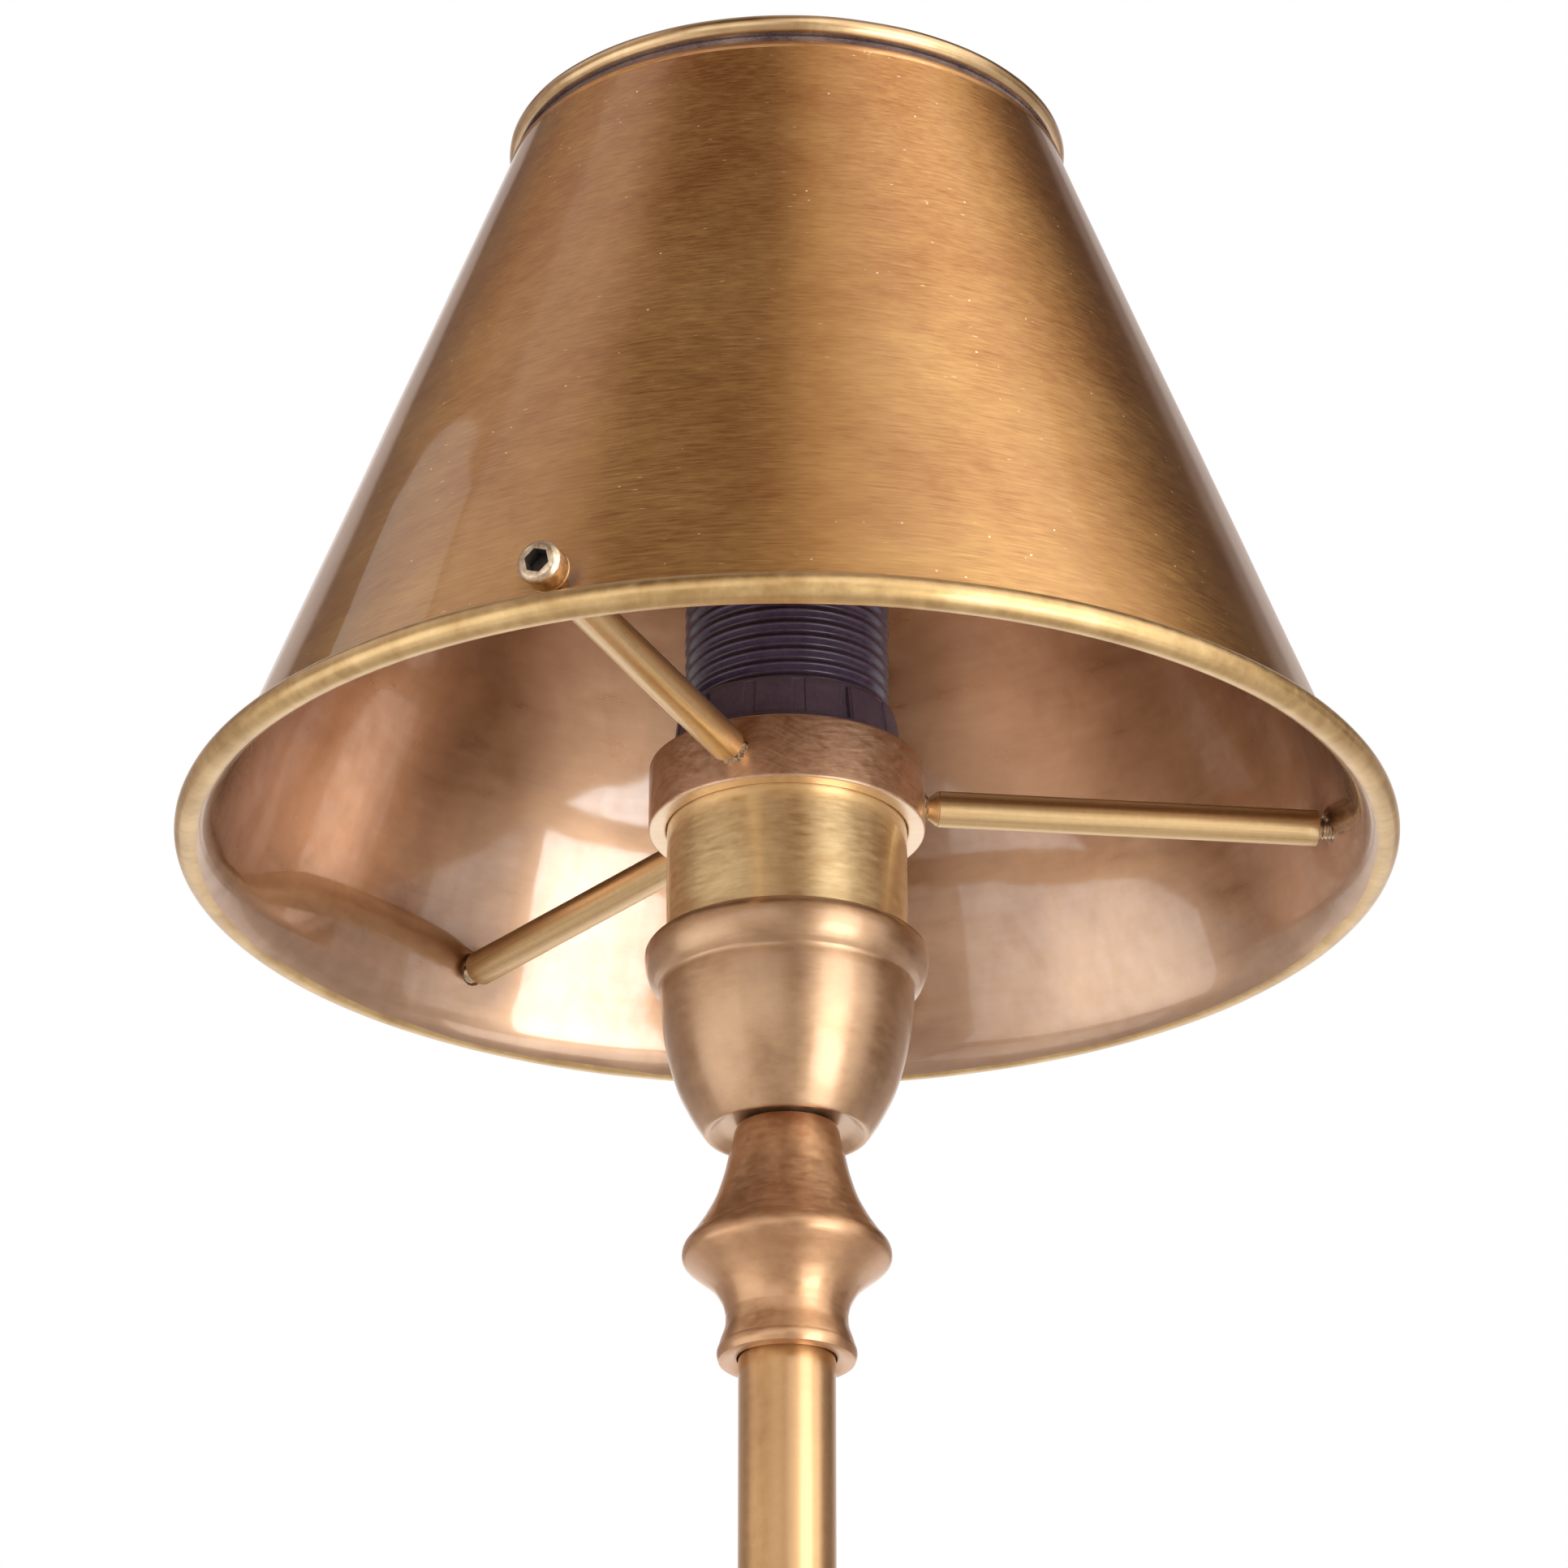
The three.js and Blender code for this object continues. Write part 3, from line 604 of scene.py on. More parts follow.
def shade_wall():
    """A rolled sheet cone, its foot flared into the lower bead and its top edge turned under the other."""
    lip = WALL_TOP - 2.4  # the top edge starts to turn in
    flared_edge = 79.3  # the radius where the flare runs into the bead
    bead_middle = -7  # the bead hides what is lower
    outer_pull, inner_pull = (78.5, -5.1), (78.44, -7.6)  # shape the flare's two faces
    outer_start = (wall_radius(FOOT_FLARE + 1.6), FOOT_FLARE + 1.6)
    inner_start = (wall_radius(FOOT_FLARE) - SHADE_SHEET, FOOT_FLARE)
    outside = [
        *bend(wire_point("lower_bead", 108), outer_pull, outer_start),
        *stepped((wall_radius(FOOT_FLARE + 1.9), FOOT_FLARE + 1.9), (wall_radius(lip), lip), 60),
        (wall_radius(lip), lip),
        (wall_radius(lip) + 0.05, lip + 0.15),
        (wall_radius(lip) + 0.07, lip + 0.4),
        (wall_radius(lip + 0.9) + 0.08, lip + 0.9),
        (wall_radius(lip + 1.2) - 0.1, lip + 1.2),
        (wall_radius(lip + 1.4) - 0.45, lip + 1.5),
        (wall_radius(WALL_TOP) - 0.35, WALL_TOP),
    ]
    inside_top = (wall_radius(WALL_TOP) - SHADE_SHEET, WALL_TOP)
    inside = [
        *stepped(inside_top, (wall_radius(FOOT_FLARE + 0.3) - SHADE_SHEET, FOOT_FLARE + 0.3), 60),
        *bend(inner_start, inner_pull, wire_point("lower_bead", 240), 14),
    ]
    mesh = lathe("shade_wall_sheet", [*outside, *inside], 288, shape=ripple)
    mesh = drilled(mesh, [screw_hole(azimuth) for azimuth in SPOKES.values()])
    inside_second(mesh)
    for face in mesh.polygons:
        at = face.center / MM
        # faces by the lower bead take the bead's brass; faces of the top lip under the upper bead take the
        # painted shade
        by_lower_bead = math.hypot(at.x, at.y) > flared_edge and at.z > bead_middle
        by_upper_bead = at.z > lip + 1.3 and face.material_index == 0
        if by_lower_bead or by_upper_bead:
            face.material_index = 2 if at.z < 0 else 3
    mesh.transform(Matrix.Translation((0, 0, GALLERY * MM)))
    finishes = [SHADE_OUTSIDE, SHADE_INSIDE, BEAD_BRASS, SEAM_SHADE]
    piece("shade_wall_sheet", mesh, finishes, "head", ["shade_wall"])


def bead(node, sides, painted_shade_under=False):
    """A wire ring, a little uneven where it was dressed by hand; on the upper one the downward faces carry
    a dark painted shade.
    """
    outer, foot, top = reach(node)
    wire = (top - foot) / 2
    centre = outer - wire
    section = arc(centre, (foot + top) / 2 - GALLERY, wire, wire, 0, 350, 35)

    def uneven(radius, z, angle):
        x, y = math.cos(angle), math.sin(angle)
        return radius + wave(x, y, z / 40, 6.0) * 0.05, z + wave(x, y + 9, 0, 4.0) * 0.05

    mesh = lathe(node + "_wire", section, sides, GALLERY, uneven)
    for face in mesh.polygons:
        # the upper bead's downward faces are painted dark: painted shade under the wire
        face.material_index = 1 if painted_shade_under and face.normal.z < -0.93 else 0
    brass_finish = TOP_BEAD_BRASS if painted_shade_under else BEAD_BRASS
    piece(node + "_wire", mesh, [brass_finish, SEAM_SHADE], "head", [node])


def spoke(letter, azimuth):
    """A rod with a turned-down spigot that is brazed to the ring, and a tapped end."""
    radius, tip, shoulder = SPOKE_RADIUS, SPOKE_TIP, RING_RADIUS + 1.75
    outside = [
        (0, RING_RADIUS - 1.7), (1.5, RING_RADIUS - 1.7), (1.5, RING_RADIUS + 0.3),
        (1.62, RING_RADIUS + 0.75), (radius - 0.12, shoulder), (radius - 0.12, shoulder + 0.12),
        (radius, shoulder + 0.25),
    ]
    length = stepped((radius, shoulder + 0.5), (radius, tip - 0.35), 30)
    end = [
        (radius, tip - 0.35), (radius - 0.1, tip - 0.1), (radius - 0.32, tip),
        (1.95, tip), (1.78, tip - 0.2), (1.78, tip - 7), (0, tip - 7),
    ]

    def drawn(radius, z, angle):
        return radius * (1 + wave(math.cos(angle), math.sin(angle), z / 14, 1.4) * 0.006), z

    mesh = lathe(f"spoke_{letter}_rod", [*outside, *length, *end], 48, 0.0, drawn)
    piece(f"spoke_{letter}_rod", mesh, [SPOKE_BRASS], "head", [f"spoke_{letter}"],
          turned_to(azimuth, GALLERY))


def braze(letter, azimuth):
    """The ragged fillet of solder where a spoke's spigot meets the ring."""

    def ragged(radius, z, angle):
        x, y = math.cos(angle), math.sin(angle)
        lump = wave(x, y, ord(letter), 2.6)
        return radius + lump * 0.3 * (1 if radius > 1.6 else 0), z + max(0, lump) * 0.2

    face = RING_RADIUS
    section = [
        (1.45, face - 0.5), (2.3, face - 0.45), (2.1, face + 0.05),
        (1.8, face + 0.18), (1.62, face + 0.4), (1.45, face + 0.45),
    ]
    mesh = lathe(f"braze_{letter}", section, 40, 0.0, ragged)
    piece(f"braze_{letter}", mesh, [SOLDER], "head", (), turned_to(azimuth, GALLERY))


def hexagon_prism(across_flats, foot, top):
    """The shape of a hexagon key, turned a little as it would be after tightening."""
    turned = 12  # degrees
    build = bmesh.new()
    corner = across_flats / math.sqrt(3)
    rings = []
    for z in (foot, top):
        ring = []
        for i in range(6):
            angle = math.radians(60 * i + turned)
            spot = (corner * math.cos(angle) * MM, corner * math.sin(angle) * MM, z * MM)
            ring.append(build.verts.new(spot))
        rings.append(ring)
    build.faces.new(list(reversed(rings[0])))
    build.faces.new(rings[1])
    for i in range(6):
        n = (i + 1) % 6
        build.faces.new((rings[0][i], rings[0][n], rings[1][n], rings[1][i]))
    mesh = bpy.data.meshes.new("hexagon")
    build.normal_update()
    build.to_mesh(mesh)
    build.free()
    return mesh


def cap_screw(letter, azimuth):
    """A small socket-head screw with a chamfered rim round its hexagon socket, and its washer."""
    washer_top = WASHER_FOOT + 0.45
    head_foot = WASHER_FOOT + 0.5
    head_top = head_foot + 3.35
    radius = 3.05
    root, crest, pitch = 1.28, 1.5, 0.5
    shank = [(0, SPOKE_TIP - 6), (1.2, SPOKE_TIP - 6), (1.45, SPOKE_TIP - 5.7)]
    thread = []
    z = SPOKE_TIP - 5.7
    while z < head_foot - 1.1:
        thread += [(root, z + 0.12), (crest, z + 0.36), (crest, z + 0.42)]
        z += pitch
    head = [
        (1.5, head_foot), (radius - 0.25, head_foot), (radius, head_foot + 0.2), (radius, head_foot + 1.3),
        (radius, head_top - 0.8), (radius - 0.08, head_top - 0.6), (radius - 0.6, head_top - 0.08),
        (radius - 0.75, head_top), (1.45, head_top), (1.4, head_top - 0.1), (1.35, head_top - 0.2),
        (0, head_top - 0.2),
    ]
    mesh = lathe(f"cap_screw_{letter}_fine", [*shank, *thread, *head], 64)
    mesh = drilled(mesh, [hexagon_prism(3.1, head_top - 2.4, head_top + 1)])
    # the socket's faces are painted near black: painted shade in the recess
    for face in mesh.polygons:
        at = face.center / MM
        in_socket = math.hypot(at.x, at.y) < 1.78 and head_foot < at.z < head_top - 0.05
        face.material_index = 1 if in_socket else 0
    piece(f"cap_screw_{letter}_fine", mesh, [SCREW_BRASS, SOCKET_SHADE], "head",
          [f"cap_screw_{letter}"], turned_to(azimuth, GALLERY))
    section = [(1.85, WASHER_FOOT), (3.05, WASHER_FOOT), (3.05, washer_top), (1.85, washer_top)]
    mesh = lathe(f"screw_washer_{letter}_fine", eased(section, 0.12), 64)
    piece(f"screw_washer_{letter}_fine", mesh, [BEAD_BRASS], "head",
          [f"screw_washer_{letter}"], turned_to(azimuth, GALLERY))


def shade():
    """The wall, its two beads and the three spokes with their screws."""
    shade_wall()
    bead("lower_bead", 288)
    bead("upper_bead", 224, True)
    for letter, azimuth in SPOKES.items():
        spoke(letter, azimuth)
        braze(letter, azimuth)
        cap_screw(letter, azimuth)


# -------------------------------------------------- gallery ring and lampholder


def gallery_ring():
    """A short skirt with a web inside its top; its lower rim is turned flat, and its downward faces take a
    paler brass, a painted highlight.
    """
    half = RING_TOP - GALLERY
    section = eased([
        (16.46, -half), (RING_RADIUS, -half), (RING_RADIUS, half), (14.4, half), (14.4, 2.9), (16.46, 2.9),
    ], 0.45, steps=5)
    mesh = lathe("gallery_ring_fine", section, 192, GALLERY)
    for face in mesh.polygons:
        # downward faces below the spokes' plane take the paler brass, a painted highlight
        face.material_index = 1 if face.normal.z < -0.75 and face.center.z / MM < GALLERY else 0
    piece("gallery_ring_fine", mesh, [RING_BRASS, RIM_LIT_BRASS], "head", ["gallery_ring"])


def ring_nut():
    """A coned black ring with raised panels, dark slots and a wider foot."""
    panels = 14
    slot_half = math.radians(2.1)
    gap_half = math.radians(3.4)
    slot_depth, gap_depth = 0.75, 0.22
    turned = 0.12  # how far the panels are turned from +X

    def panelled(radius, z, angle):
        if radius < 14.7 or z < NUT_FOOT + 1.55 or z > NUT_TOP - 0.45:
            return radius, z
        pitch = 2 * math.pi / panels
        off = (angle + turned) % pitch
        off = min(off, pitch - off)
        has_slot = int((angle + turned + pitch / 2) / pitch) % 3 == 0
        if off < slot_half and has_slot:
            return radius - slot_depth, z
        if off < gap_half:
            return radius - gap_depth, z
        return radius, z

    foot, top = NUT_FOOT, NUT_TOP
    outside = [
        (14.4, foot), (16.15, foot), (16.3, foot + 0.15), (16.3, foot + 1.3), (16.15, foot + 1.45),
        (15.62, foot + 1.5), (15.62, foot + 1.56), (15.72, foot + 1.7),
        *stepped((15.7, foot + 1.9), (15.05, top - 0.7), 6), (15.05, top - 0.7),
        (14.98, top - 0.5), (14.9, top - 0.4), (14.8, top - 0.1), (14.7, top), (14.4, top),
    ]
    mesh = lathe("shade_ring_nut_fine", outside, 560, GALLERY, panelled)
    piece("shade_ring_nut_fine", mesh, [BLACK_PLASTIC], "head", ["shade_ring_nut"])


def holder_skirt():
    """The lampholder's outer body, with a rounded 28 mm thread of 2 mm pitch cut as a true helix."""
    foot, top = (z - GALLERY for z in reach("holder_skirt")[1:])
    pitch = 2.0
    root, depth = 13.1, 0.95
    start, end = 2.6, 31.4

    def helix(r, z, angle):
        if abs(r - root) > 0.001:
            return r, z
        turn = (z / pitch - angle / (2 * math.pi)) % 1.0
        crest = (0.5 + 0.5 * math.cos((turn - 0.5) * 2 * math.pi)) ** 1.4
        fade = min(1, max(0, (z - start) / 0.6), max(0, (end - z) / 1.2))
        return r + depth * crest * fade, z

    section = [
        (11.7, foot), (13.7, foot), (14, foot + 0.3), (14, -1.2), (14.9, -1.2), (15.1, -1), (15.1, 2.3),
        (14.9, 2.5), (13.3, 2.5),
        *stepped((root, start), (root, end), 290), (root, end),
        (13.0, end + 0.1), (12.85, end + 0.6), (12.3, top - 0.25), (12.0, top), (10.1, top),
        (9.8, top - 0.25), (9.8, end), (11.7, end),
    ]
    mesh = lathe("holder_skirt_fine", section, 160, GALLERY, helix)
    piece("holder_skirt_fine", mesh, [GLOSS_PLASTIC], "head", ["holder_skirt"])


def screw_shell():
    """The rolled E14 screw shell, its thread a helix pressed into thin brass."""
    pitch = 2.82
    depth = 0.16

    def helix(r, z, angle):
        if not 9.0 < z < 25.2:
            return r, z
        turn = 2 * math.pi * (z / pitch - angle / (2 * math.pi))
        return r + depth * math.cos(turn), z

    section = [
        *stepped((7.35, 8), (7.35, 25.9), 90), (7.35, 25.9), (7.6, 26.5), (8.3, 26.7), (8.35, 27),
        (8.2, 27.2), (7.5, 27.1), (7.1, 26.4), *stepped((7.08, 26), (7.08, 8), 90), (7.08, 8),
    ]
    mesh = lathe("screw_shell_fine", section, 96, GALLERY, helix)
    piece("screw_shell_fine", mesh, [RAW_BRASS], "head", ["screw_shell"])


def holder_core():
    """The glazed insulator inside the holder."""
    section = [(2.4, -12), (11.3, -12), (11.3, 14), (7.9, 14), (7.9, 7.5), (2.4, 7.5)]
    mesh = lathe("holder_core_fine", eased(section, 0.5), 96, GALLERY)
    piece("holder_core_fine", mesh, [CERAMIC], "head", ["holder_core"])


def centre_contact():
    """The contact that a bulb's tip presses on."""
    section = [(0, -14), (1.9, -14), (1.9, 7.8), (3.2, 7.8), (3.2, 8.8), (1.5, 9.8), (0, 9.8)]
    mesh = lathe("centre_contact_fine", eased(section, 0.25), 48, GALLERY)
    piece("centre_contact_fine", mesh, [RAW_BRASS], "head", ["centre_contact"])


# -------------------------------------------------- turned stem


def husk():
    """A tube, a round moulding and an egg-shaped cup with a crisp mouth."""
    tube_radius, tube_foot = 16.4, -21.2
    mouth_and_egg = flowing([
        (11.0, -48.9), (11.44, -48.4), (12.55, -46.7), (13.72, -44.5), (14.8, -42.1), (15.9, -38.4),
        (16.7, -34.4), (17.15, -30.5), (17.25, -28.6),
    ])
    crease = [(17.27, -28.2), (17.35, -28.0), (17.5, -27.85)]
    moulding = [
        *arc(tube_radius, -23.3, 2.9, 5.0, -62, 0, 12)[1:],
        *arc(tube_radius, -23.3, 2.9, 1.9, 0, 88, 12)[1:],
    ]
    section = [
        (5.3, -47.6), (8.6, -47.6), (9.4, -47.9), (10.3, -48.75), (10.65, -48.95),
        *mouth_and_egg, *crease, *moulding,
        (tube_radius + 0.02, -21.38), *stepped((tube_radius, tube_foot), (tube_radius, 2.2), 6),
        (tube_radius, 2.3), (tube_radius - 0.2, 2.6), (15.4, 2.6),
        (15.4, -35), (14, -40.2), (11.8, -44), (5.3, -44),
    ]
    mesh = lathe("husk_turned", section, 192, GALLERY)
    # the tube above the moulding takes the lighter brass, a painted light; the moulding and egg take the
    # aged brass
    for face in mesh.polygons:
        face.material_index = 1 if face.center.z / MM - GALLERY < tube_foot else 0
    piece("husk_turned", mesh, [HUSK_TUBE_LIT_BRASS, AGED_BRASS], "head", ["husk"])


def neck():
    """A flared shoulder, a bead, a waist and a small lip, in one turned piece."""
    lip = [
        (6.7, -80.8), (7.6, -81.3), (8.7, -81.3), (9.08, -81.1),
        *arc(8.9, -80.1, 0.44, 0.95, -50, 60, 6),
    ]
    waist = flowing([
        (9.09, -79.1), (8.82, -78.2), (8.26, -76.5), (8.15, -75.1), (8.2, -74.4), (8.57, -72.95),
        (9.42, -71.35), (10.18, -70.4), (11.24, -69.4), (12.33, -68.5),
    ], 4)
    bead_curve = flowing([
        (12.5, -68.35), (13.1, -67.85), (13.83, -67.1), (14.02, -66.2), (13.78, -65.2), (13.23, -64.4),
        (12.85, -63.95),
    ], 4)
    shoulder = flowing([
        (12.7, -63.75), (12.4, -63.3), (11.4, -61.8), (10.6, -60.4), (9.92, -59.1), (9.37, -57.8),
        (8.93, -56.5), (8.56, -55.3), (8.24, -54.1), (7.94, -52.7),
    ], 3)
    top = [(7.7, -51.6), (7.4, -50.6), (7.2, -49.6), (7.1, -48.9), (6.8, -48.2), (5.3, -48.2)]
    section = [*lip, *waist, *bead_curve, *shoulder, *top, (5.3, -66.9), (6.7, -66.9)]
    mesh = lathe("neck_turned", section, 160, GALLERY)
    piece("neck_turned", mesh, [NECK_BRASS], "head", ["baluster_neck"])


def riser():
    """The plain sliding tube, counterbored at its top for the nipple."""
    foot, top = RISER_FOOT - GALLERY, RISER_TOP - GALLERY
    section = eased([
        (4.6, foot), (RISER_RADIUS, foot), (RISER_RADIUS, top),
        (5.3, top), (5.3, top - 14), (4.6, top - 14),
    ], 0.25)
    mesh = lathe("riser_tube_fine", section, 96, GALLERY)
    piece("riser_tube_fine", mesh, [TUBE_BRASS], "head", ["riser_tube"])


def lower_pole():
    """The plain tube that stands on the base."""
    section = eased([
        (8.5, POLE_FOOT), (POLE_RADIUS, POLE_FOOT), (POLE_RADIUS, POLE_TOP), (8.5, POLE_TOP),
    ], 0.25)
    mesh = lathe("lower_pole_fine", section, 96)
    piece("lower_pole_fine", mesh, [TUBE_BRASS], "stand", ["lower_pole"])


# -------------------------------------------------- height clamp


def clamp_collar():
    """A turned collar on the pole's top, tapped for the thumbscrew."""
    outside = [
        (9.7, -24), (10.7, -24), *arc(11.4, -21.2, 1.8, 2.7, -75, 80, 10), (11.75, -18.4), (11.62, -17.6),
        *flowing([(11.6, -17), (11.65, -13), (12.1, -8), (13.2, -3.8)], 4), (13.5, -3.2), (13.9, -3.0),
        *arc(13.9, 8, 2.2, 10.6, -86, 86, 20), (13.9, 19.0), (13.3, 19.4),
        *flowing([(12.5, 20.2), (10.9, 22.6), (9.9, 25.2), (9.4, 27.6)], 4),
        (9.45, 28.2), *arc(9.4, 30.3, 1.35, 1.9, -70, 84, 10), (9.2, 32.3),
        (6.8, 32.3), (6.8, 0.2), (9.7, 0.2),
    ]
    mesh = lathe("clamp_collar_turned", outside, 160)
    boss_height = CLAMP_SCREW_HEIGHT - POLE_TOP
    hole = lathe("hole", [(0, 5), (3.15, 5), (3.15, 20), (0, 20)], 40)
    hole.transform(turned_to(0, boss_height))
    mesh = drilled(mesh, [hole])
    mesh.transform(Matrix.Translation((0, 0, POLE_TOP * MM)))
    piece("clamp_collar_turned", mesh, [AGED_BRASS], "stand", ["clamp_collar"])


def thumbscrew():
    """A knurled brass screw with a domed face, its shank threaded."""
    knurls = 40
    knurl_depth = 0.28  # above and below the middle of a knurl

    def knurled(radius, z, angle):
        if radius < 8.75 or not 19.7 < z < 25.1:
            return radius, z
        return radius - knurl_depth + knurl_depth * math.cos(knurls * angle), z

    root, crest, pitch = 2.55, 2.9, 0.9
    thread = []
    z = 9.4
    while z < 16.4:
        thread += [(root, z), (crest, z + 0.4), (crest, z + 0.5)]
        z += pitch
    section = [
        (0, 9), (2.3, 9), *thread, (crest, 17.4), (4.6, 17.4), (5, 17.7), (5, 19.2), (5.2, 19.4),
        (8.1, 19.4), (8.6, 19.5), (8.9, 19.9), (9, 20.3), *stepped((9, 20.6), (9, 24.3), 4),
        (9, 24.3), (9, 24.7), (8.85, 25.05), (8.5, 25.35), (7.9, 25.4), (7.6, 25.2), (7.3, 25.35),
        *arc(0, 24.2, 7.1, 2.6, 28, 90, 8)[:-1], (0, 26.8),
    ]
    mesh = lathe("thumbscrew_knurled", section, 320, 0.0, knurled)
    piece("thumbscrew_knurled", mesh, [BEAD_BRASS], "thumbscrew", ["thumbscrew"],
          turned_to(0, CLAMP_SCREW_HEIGHT))


# -------------------------------------------------- base


def base_cover():
    """Spun brass over the weight: a straight skirt, a shallow slope, a step and a rising neck."""
    sheet = 1.2
    r = BASE_RADIUS
    outside = [
        (r - 0.8, 1.6), (r - 0.25, 1.75), (r, 2.3), *stepped((r, 3), (r, 12.4), 4),
        *arc(r - 4.6, 12.4, 4.6, 4.7, 0, 82, 12),
        *flowing([(118, 17.45), (108, 18.6), (96, 19.9), (86, 21.1), (80.5, 21.9)], 4),
        (79.6, 22.1), (78.9, 22.5), *arc(76, 26.3, 3.2, 3.8, -52, 86, 14), (75.4, 30.1), (74.6, 30.2),
        *flowing([
            (73, 30.4), (66, 31.4), (57, 33.2), (48, 35.8), (40, 39.3), (34.5, 42.6), (30.6, 45.6),
        ], 5),
        (29.6, 46.4), (28.6, 46.9), *arc(26.2, 49.1, 1.9, 1.9, -50, 80, 8),
        (25.6, BASE_TOP - 0.05), (24, BASE_TOP), (5.3, BASE_TOP),
    ]
    inside = [
        (5.3, BASE_TOP - sheet), (23, BASE_TOP - sheet), (29.6, 44.4), (40, 37.6), (57, 31.8), (74.5, 28.8),
        (77, 21.2), (118, 16), (r - 2.4, 14.6), (r - sheet, 12.4), (r - sheet, 1.7),
    ]
    mesh = lathe("base_cover_spun", [*outside, *inside], 256)
    inlet = middle("cable_bush")
    hole = lathe("hole", [(0, r - 6), (4.4, r - 6), (4.4, r + 4), (0, r + 4)], 40)
    hole.transform(turned_to(90, inlet.z / MM))
    mesh = drilled(mesh, [hole])
    piece("base_cover_spun", mesh, [BASE_BRASS], "stand", ["base_cover"])


def base_collar():
    """The turned foot of the pole."""
    foot = BASE_TOP + 0.3
    outside = [
        (5.3, foot), (24.2, foot), *arc(22.6, 54.9, 3.2, 3.0, -62, 80, 12), (22.8, 58.0), (21.8, 58.4),
        *flowing([(20.6, 59.2), (17.6, 62), (15.2, 65.8), (14, 70), (13.6, 74), (13.9, 77.3)], 4),
        (14.2, 77.9), (14.8, 78.3), *arc(14.4, 81.1, 3.6, 2.8, -70, 74, 12), (14.6, 84.0), (13.8, 84.5),
        *flowing([(13.4, 85.6), (12.6, 89), (12.1, 92.6), (12.0, 95.8)], 4),
        (12.1, 96.2), *arc(12.6, 97.9, 1.4, 1.8, -70, 84, 10), (12.3, 99.7),
        (9.7, 99.7), (9.7, 76), (5.3, 76),
    ]
    mesh = lathe("base_collar_turned", outside, 160)
    piece("base_collar_turned", mesh, [AGED_BRASS], "stand", ["base_collar"])


def base_pad():
    """The rubber disc under the base."""
    radius, foot, top = reach("base_pad")
    section = [
        (0, foot), (radius - 0.5, foot), (radius - 0.15, foot + 0.15), (radius, foot + 0.5),
        (radius, top - 0.4), (radius - 0.4, top), (0, top),
    ]
    mesh = lathe("base_pad_fine", section, 192)
    piece("base_pad_fine", mesh, [RUBBER], "stand", ["base_pad"])


def cable_bush():
    """The moulded inlet at the back of the base."""
    r = BASE_RADIUS
    section = [
        (3.2, r - 7), (3.8, r - 7), (4, r - 6.8), (4, r + 0.3), (5.3, r + 0.3), (5.6, r + 0.55),
        (5.6, r + 1.5), *arc(4.6, r + 1.8, 1, 1.15, 0, 90, 6), (3.9, r + 3), (3.4, r + 2.8), (3.2, r + 2.4),
    ]
    mesh = lathe("cable_bush_fine", section, 64)
    piece("cable_bush_fine", mesh, [BLACK_PLASTIC], "stand", ["cable_bush"],
          turned_to(90, middle("cable_bush").z / MM))


# -------------------------------------------------- light, floor and camera


def floor():
    """A plain pale floor, wide enough for every view."""
    build = bmesh.new()
    bmesh.ops.create_circle(build, cap_ends=True, segments=96, radius=14)
    mesh = bpy.data.meshes.new("floor")
    build.to_mesh(mesh)
    build.free()
    f = Finish("floor")
    cloud = f.noise(f.add("ShaderNodeTexCoord").outputs["Object"], 0.6, 3.0)
    colour = f.mix(cloud, (0.86, 0.865, 0.87, 1), (0.90, 0.905, 0.91, 1))
    mesh.materials.append(f.finish(Base_Color=colour, Roughness=0.7))
    made = bpy.data.objects.new("floor", mesh)
    bpy.context.scene.collection.objects.link(made)


ROOM = 0.45  # the room's own level, between the glows
WARM = (1, 0.74, 0.62, 1)  # the tint of its dark corners
PALE = (1, 0.98, 0.96, 1)  # and of its bright parts
GLOWS = (  # azimuth, elevation, where it is full, where it has faded (degrees), strength
    (44, 28, 29, 46, 1.15),
    (86, 44, 8, 22, 0.55),
    (-24, 4, 14, 36, 0.76),
    (180, -4, 16, 30, 0.6),
    (170, 28, 18, 24, 0.3),
    (12, 10, 8, 14, -0.65),
    (16, 22, 12, 20, 0.2),
    (-168, 26, 14, 20, 0.25),
    (-88, 46, 12, 26, 0.4),
    (-32, 62, 8, 26, -0.4),
    (-131, 46, 16, 19, -0.3),
    (130, 46, 20, 25, -0.38),
    (108, -4, 10, 24, -0.3),
)


def direction(azimuth, elevation):
    """Azimuth 0 is the camera's side and 90 is to the right."""
    a, e = math.radians(azimuth), math.radians(elevation)
    return Vector((math.sin(a) * math.cos(e), -math.cos(a) * math.cos(e), math.sin(e)))


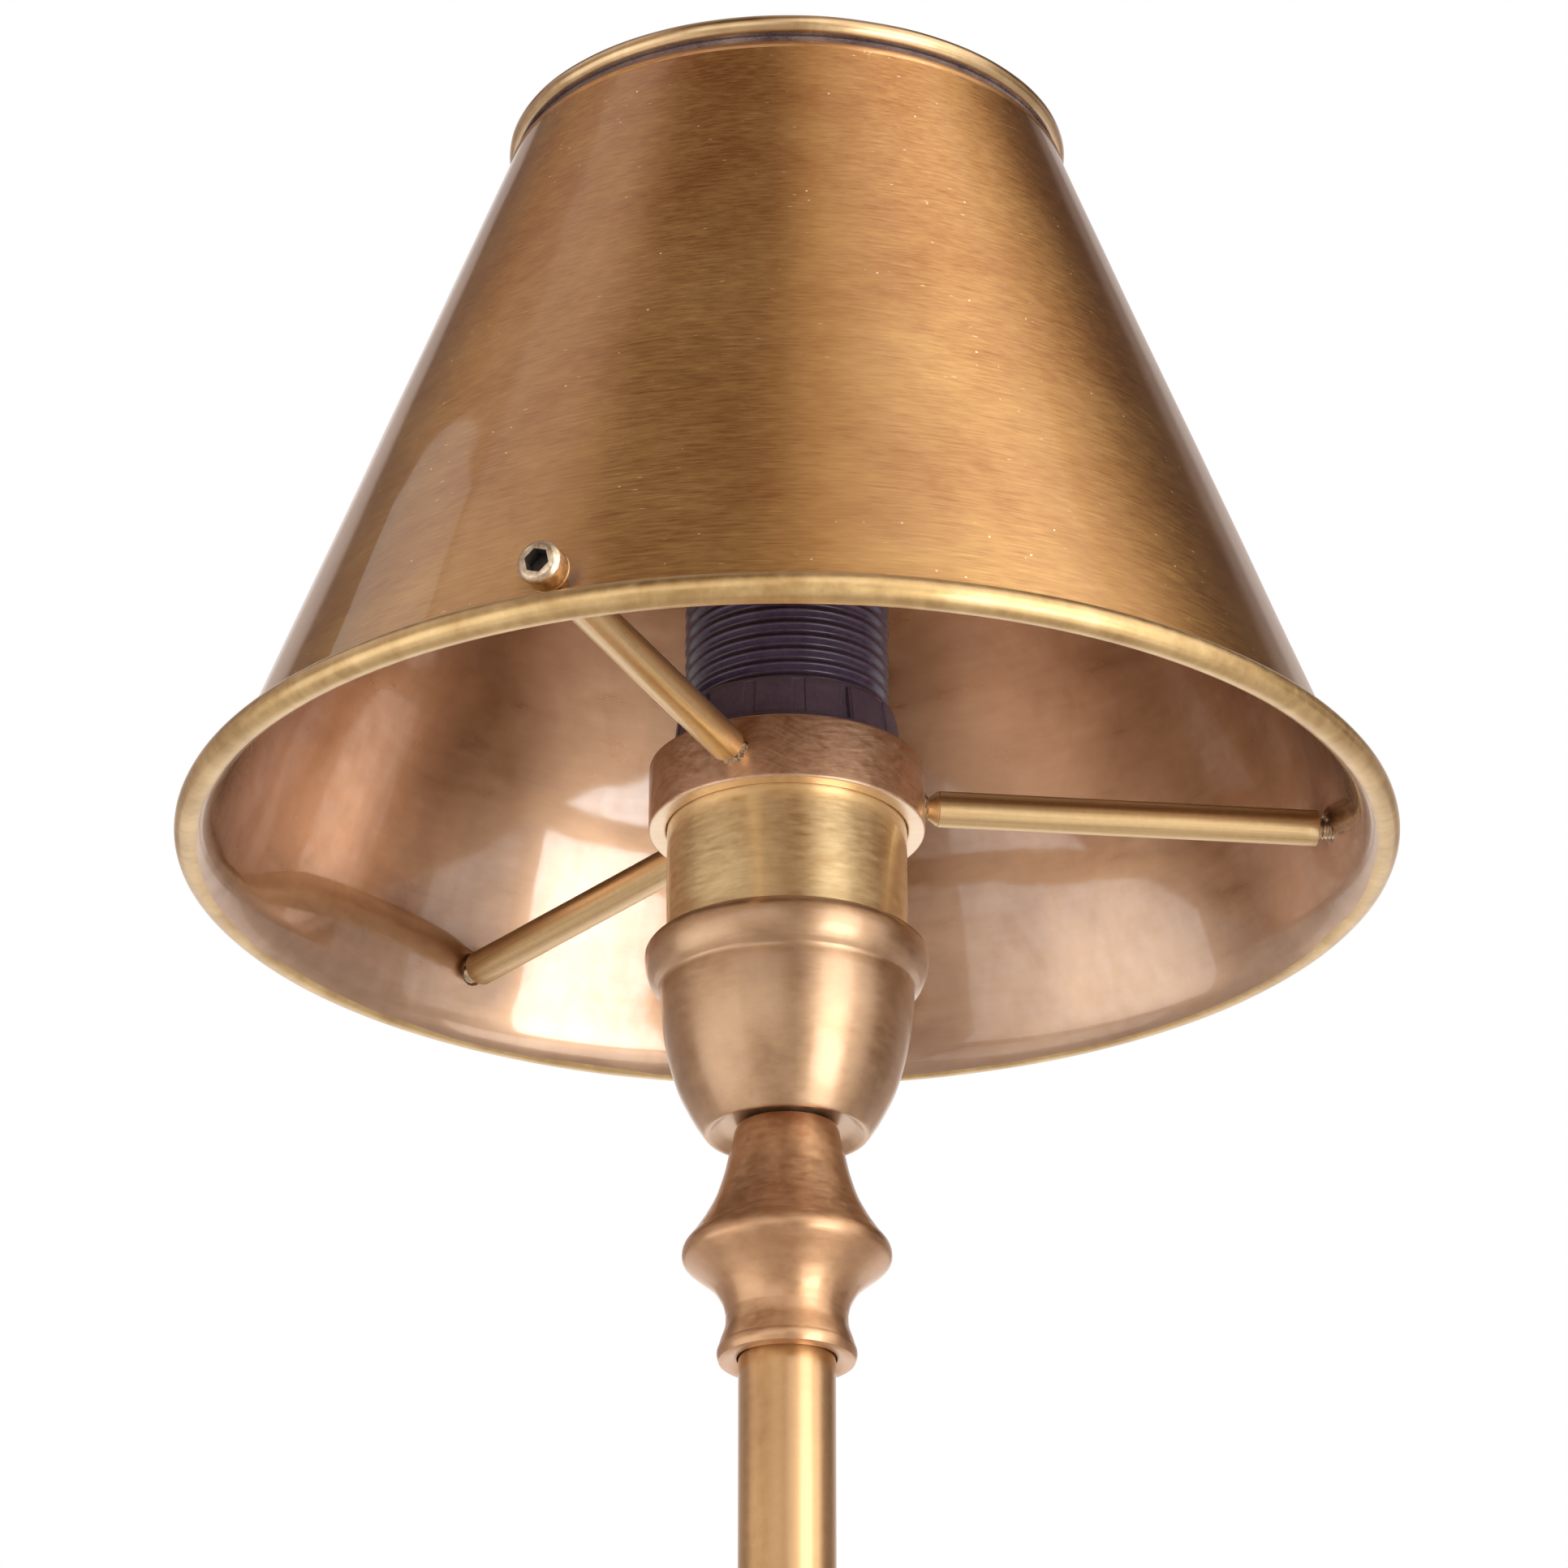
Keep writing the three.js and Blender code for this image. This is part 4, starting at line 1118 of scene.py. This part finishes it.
def world():
    """White to the eye, and in reflections a pale room with soft glows and darker corners."""
    made = bpy.data.worlds.new("studio")
    bpy.context.scene.world = made
    made.use_nodes = True
    tree = made.node_tree
    tree.nodes.clear()

    def node(kind, inputs, **settings):
        new = tree.nodes.new(kind)
        for key, value in settings.items():
            setattr(new, key, value)
        for key, value in inputs.items():
            if isinstance(value, bpy.types.NodeSocket):
                tree.links.new(value, new.inputs[key])
            else:
                new.inputs[key].default_value = value
        return new

    toward = node("ShaderNodeTexCoord", {}).outputs["Generated"]
    level = ROOM
    for azimuth, elevation, full, faded, strength in GLOWS:
        centre = direction(azimuth, elevation)
        dot = node("ShaderNodeVectorMath", {0: toward, 1: centre}, operation="DOT_PRODUCT")
        edges = {"From Min": math.cos(math.radians(faded)), "From Max": math.cos(math.radians(full))}
        edges.update({"Value": dot.outputs["Value"], "To Max": strength})
        glow = node("ShaderNodeMapRange", edges, interpolation_type="SMOOTHSTEP").outputs[0]
        level = node("ShaderNodeMath", {0: glow, 1: level}, operation="ADD").outputs[0]
    level = node("ShaderNodeMath", {0: level, 1: 0.02}, operation="MAXIMUM").outputs[0]
    seen = node("ShaderNodeBackground", {0: (1, 1, 1, 1)}).outputs[0]
    warmth = node("ShaderNodeMapRange", {"Value": level, "From Min": 0.1, "From Max": 1.1}).outputs[0]
    tint = node("ShaderNodeMix", {0: warmth, 6: WARM, 7: PALE}, data_type="RGBA").outputs[2]
    felt = node("ShaderNodeBackground", {0: tint, 1: level}).outputs[0]
    eye = node("ShaderNodeLightPath", {}).outputs["Is Camera Ray"]
    choice = node("ShaderNodeMixShader", {0: eye, 1: felt, 2: seen}).outputs[0]
    node("ShaderNodeOutputWorld", {0: choice})


PANEL_DISTANCE = 1.35
PANEL_SPREAD = 110  # degrees
SPREAD_GAIN = 3.05  # how much brighter a panel is ahead of it for throwing a cone that narrow


def panel(name, azimuth, elevation, width, height, radiance, tilt=0.0):
    """A soft box aimed at the shade."""
    light = bpy.data.lights.new(name, "AREA")
    light.shape = "RECTANGLE"
    light.size = width
    light.size_y = height
    light.energy = radiance * width * height * math.pi / SPREAD_GAIN
    light.spread = math.radians(PANEL_SPREAD)
    light.color = (0.88, 0.95, 1.0)
    made = bpy.data.objects.new(name, light)
    bpy.context.scene.collection.objects.link(made)
    outward = direction(azimuth, elevation)
    made.location = AIM + outward * PANEL_DISTANCE
    made.rotation_mode = "QUATERNION"
    aim = outward.to_track_quat("Z", "Y")
    made.rotation_quaternion = aim @ Matrix.Rotation(math.radians(tilt), 3, "Z").to_quaternion()
    made.visible_camera = False


def lights():
    """Azimuth and elevation (degrees), width and height (metres), radiance and tilt of each soft box."""
    panel("right_low", 44, -22, 0.75, 0.6, 6.4)
    panel("right_side", 76, -6, 0.5, 0.9, 0.7)
    panel("right_floor", 56, -52, 1.1, 0.6, 1.8)
    panel("left_floor", -68, -52, 1.1, 0.6, 0.7)
    panel("left_low", -70, -13, 1.45, 1.0, 1.62)
    panel("back_low", 180, -24, 2.4, 0.8, 0.8)
    panel("right_tall", 46, 12, 0.72, 0.75, 2.6)
    panel("front_low", -22, 0, 0.8, 0.6, 0.6)
    panel("window", -116, 44.5, 0.5, 0.2, 0.7, 25)


def camera():
    """Below the shade, looking up at the gallery from just left of the lamp's axis."""
    pitch = math.radians(24.3)
    distance = 0.995
    step_left = 0.0004
    view = Vector((0, math.cos(pitch), math.sin(pitch)))
    lens = bpy.data.cameras.new("camera")
    lens.sensor_width = 36
    lens.lens = 166.9
    lens.clip_start = 0.05
    lens.clip_end = 60
    made = bpy.data.objects.new("camera", lens)
    bpy.context.scene.collection.objects.link(made)
    made.location = AIM - view * distance + Vector((-step_left, 0, 0))
    made.rotation_mode = "QUATERNION"
    made.rotation_quaternion = view.to_track_quat("-Z", "Y")
    bpy.context.scene.camera = made


# -------------------------------------------------- the scene


finish_cad_nodes()
shade()
gallery_ring()
ring_nut()
holder_skirt()
screw_shell()
holder_core()
centre_contact()
husk()
neck()
riser()
lower_pole()
clamp_collar()
thumbscrew()
base_cover()
base_collar()
base_pad()
cable_bush()
floor()
world()
lights()
camera()
bpy.context.scene.view_settings.view_transform = "Standard"
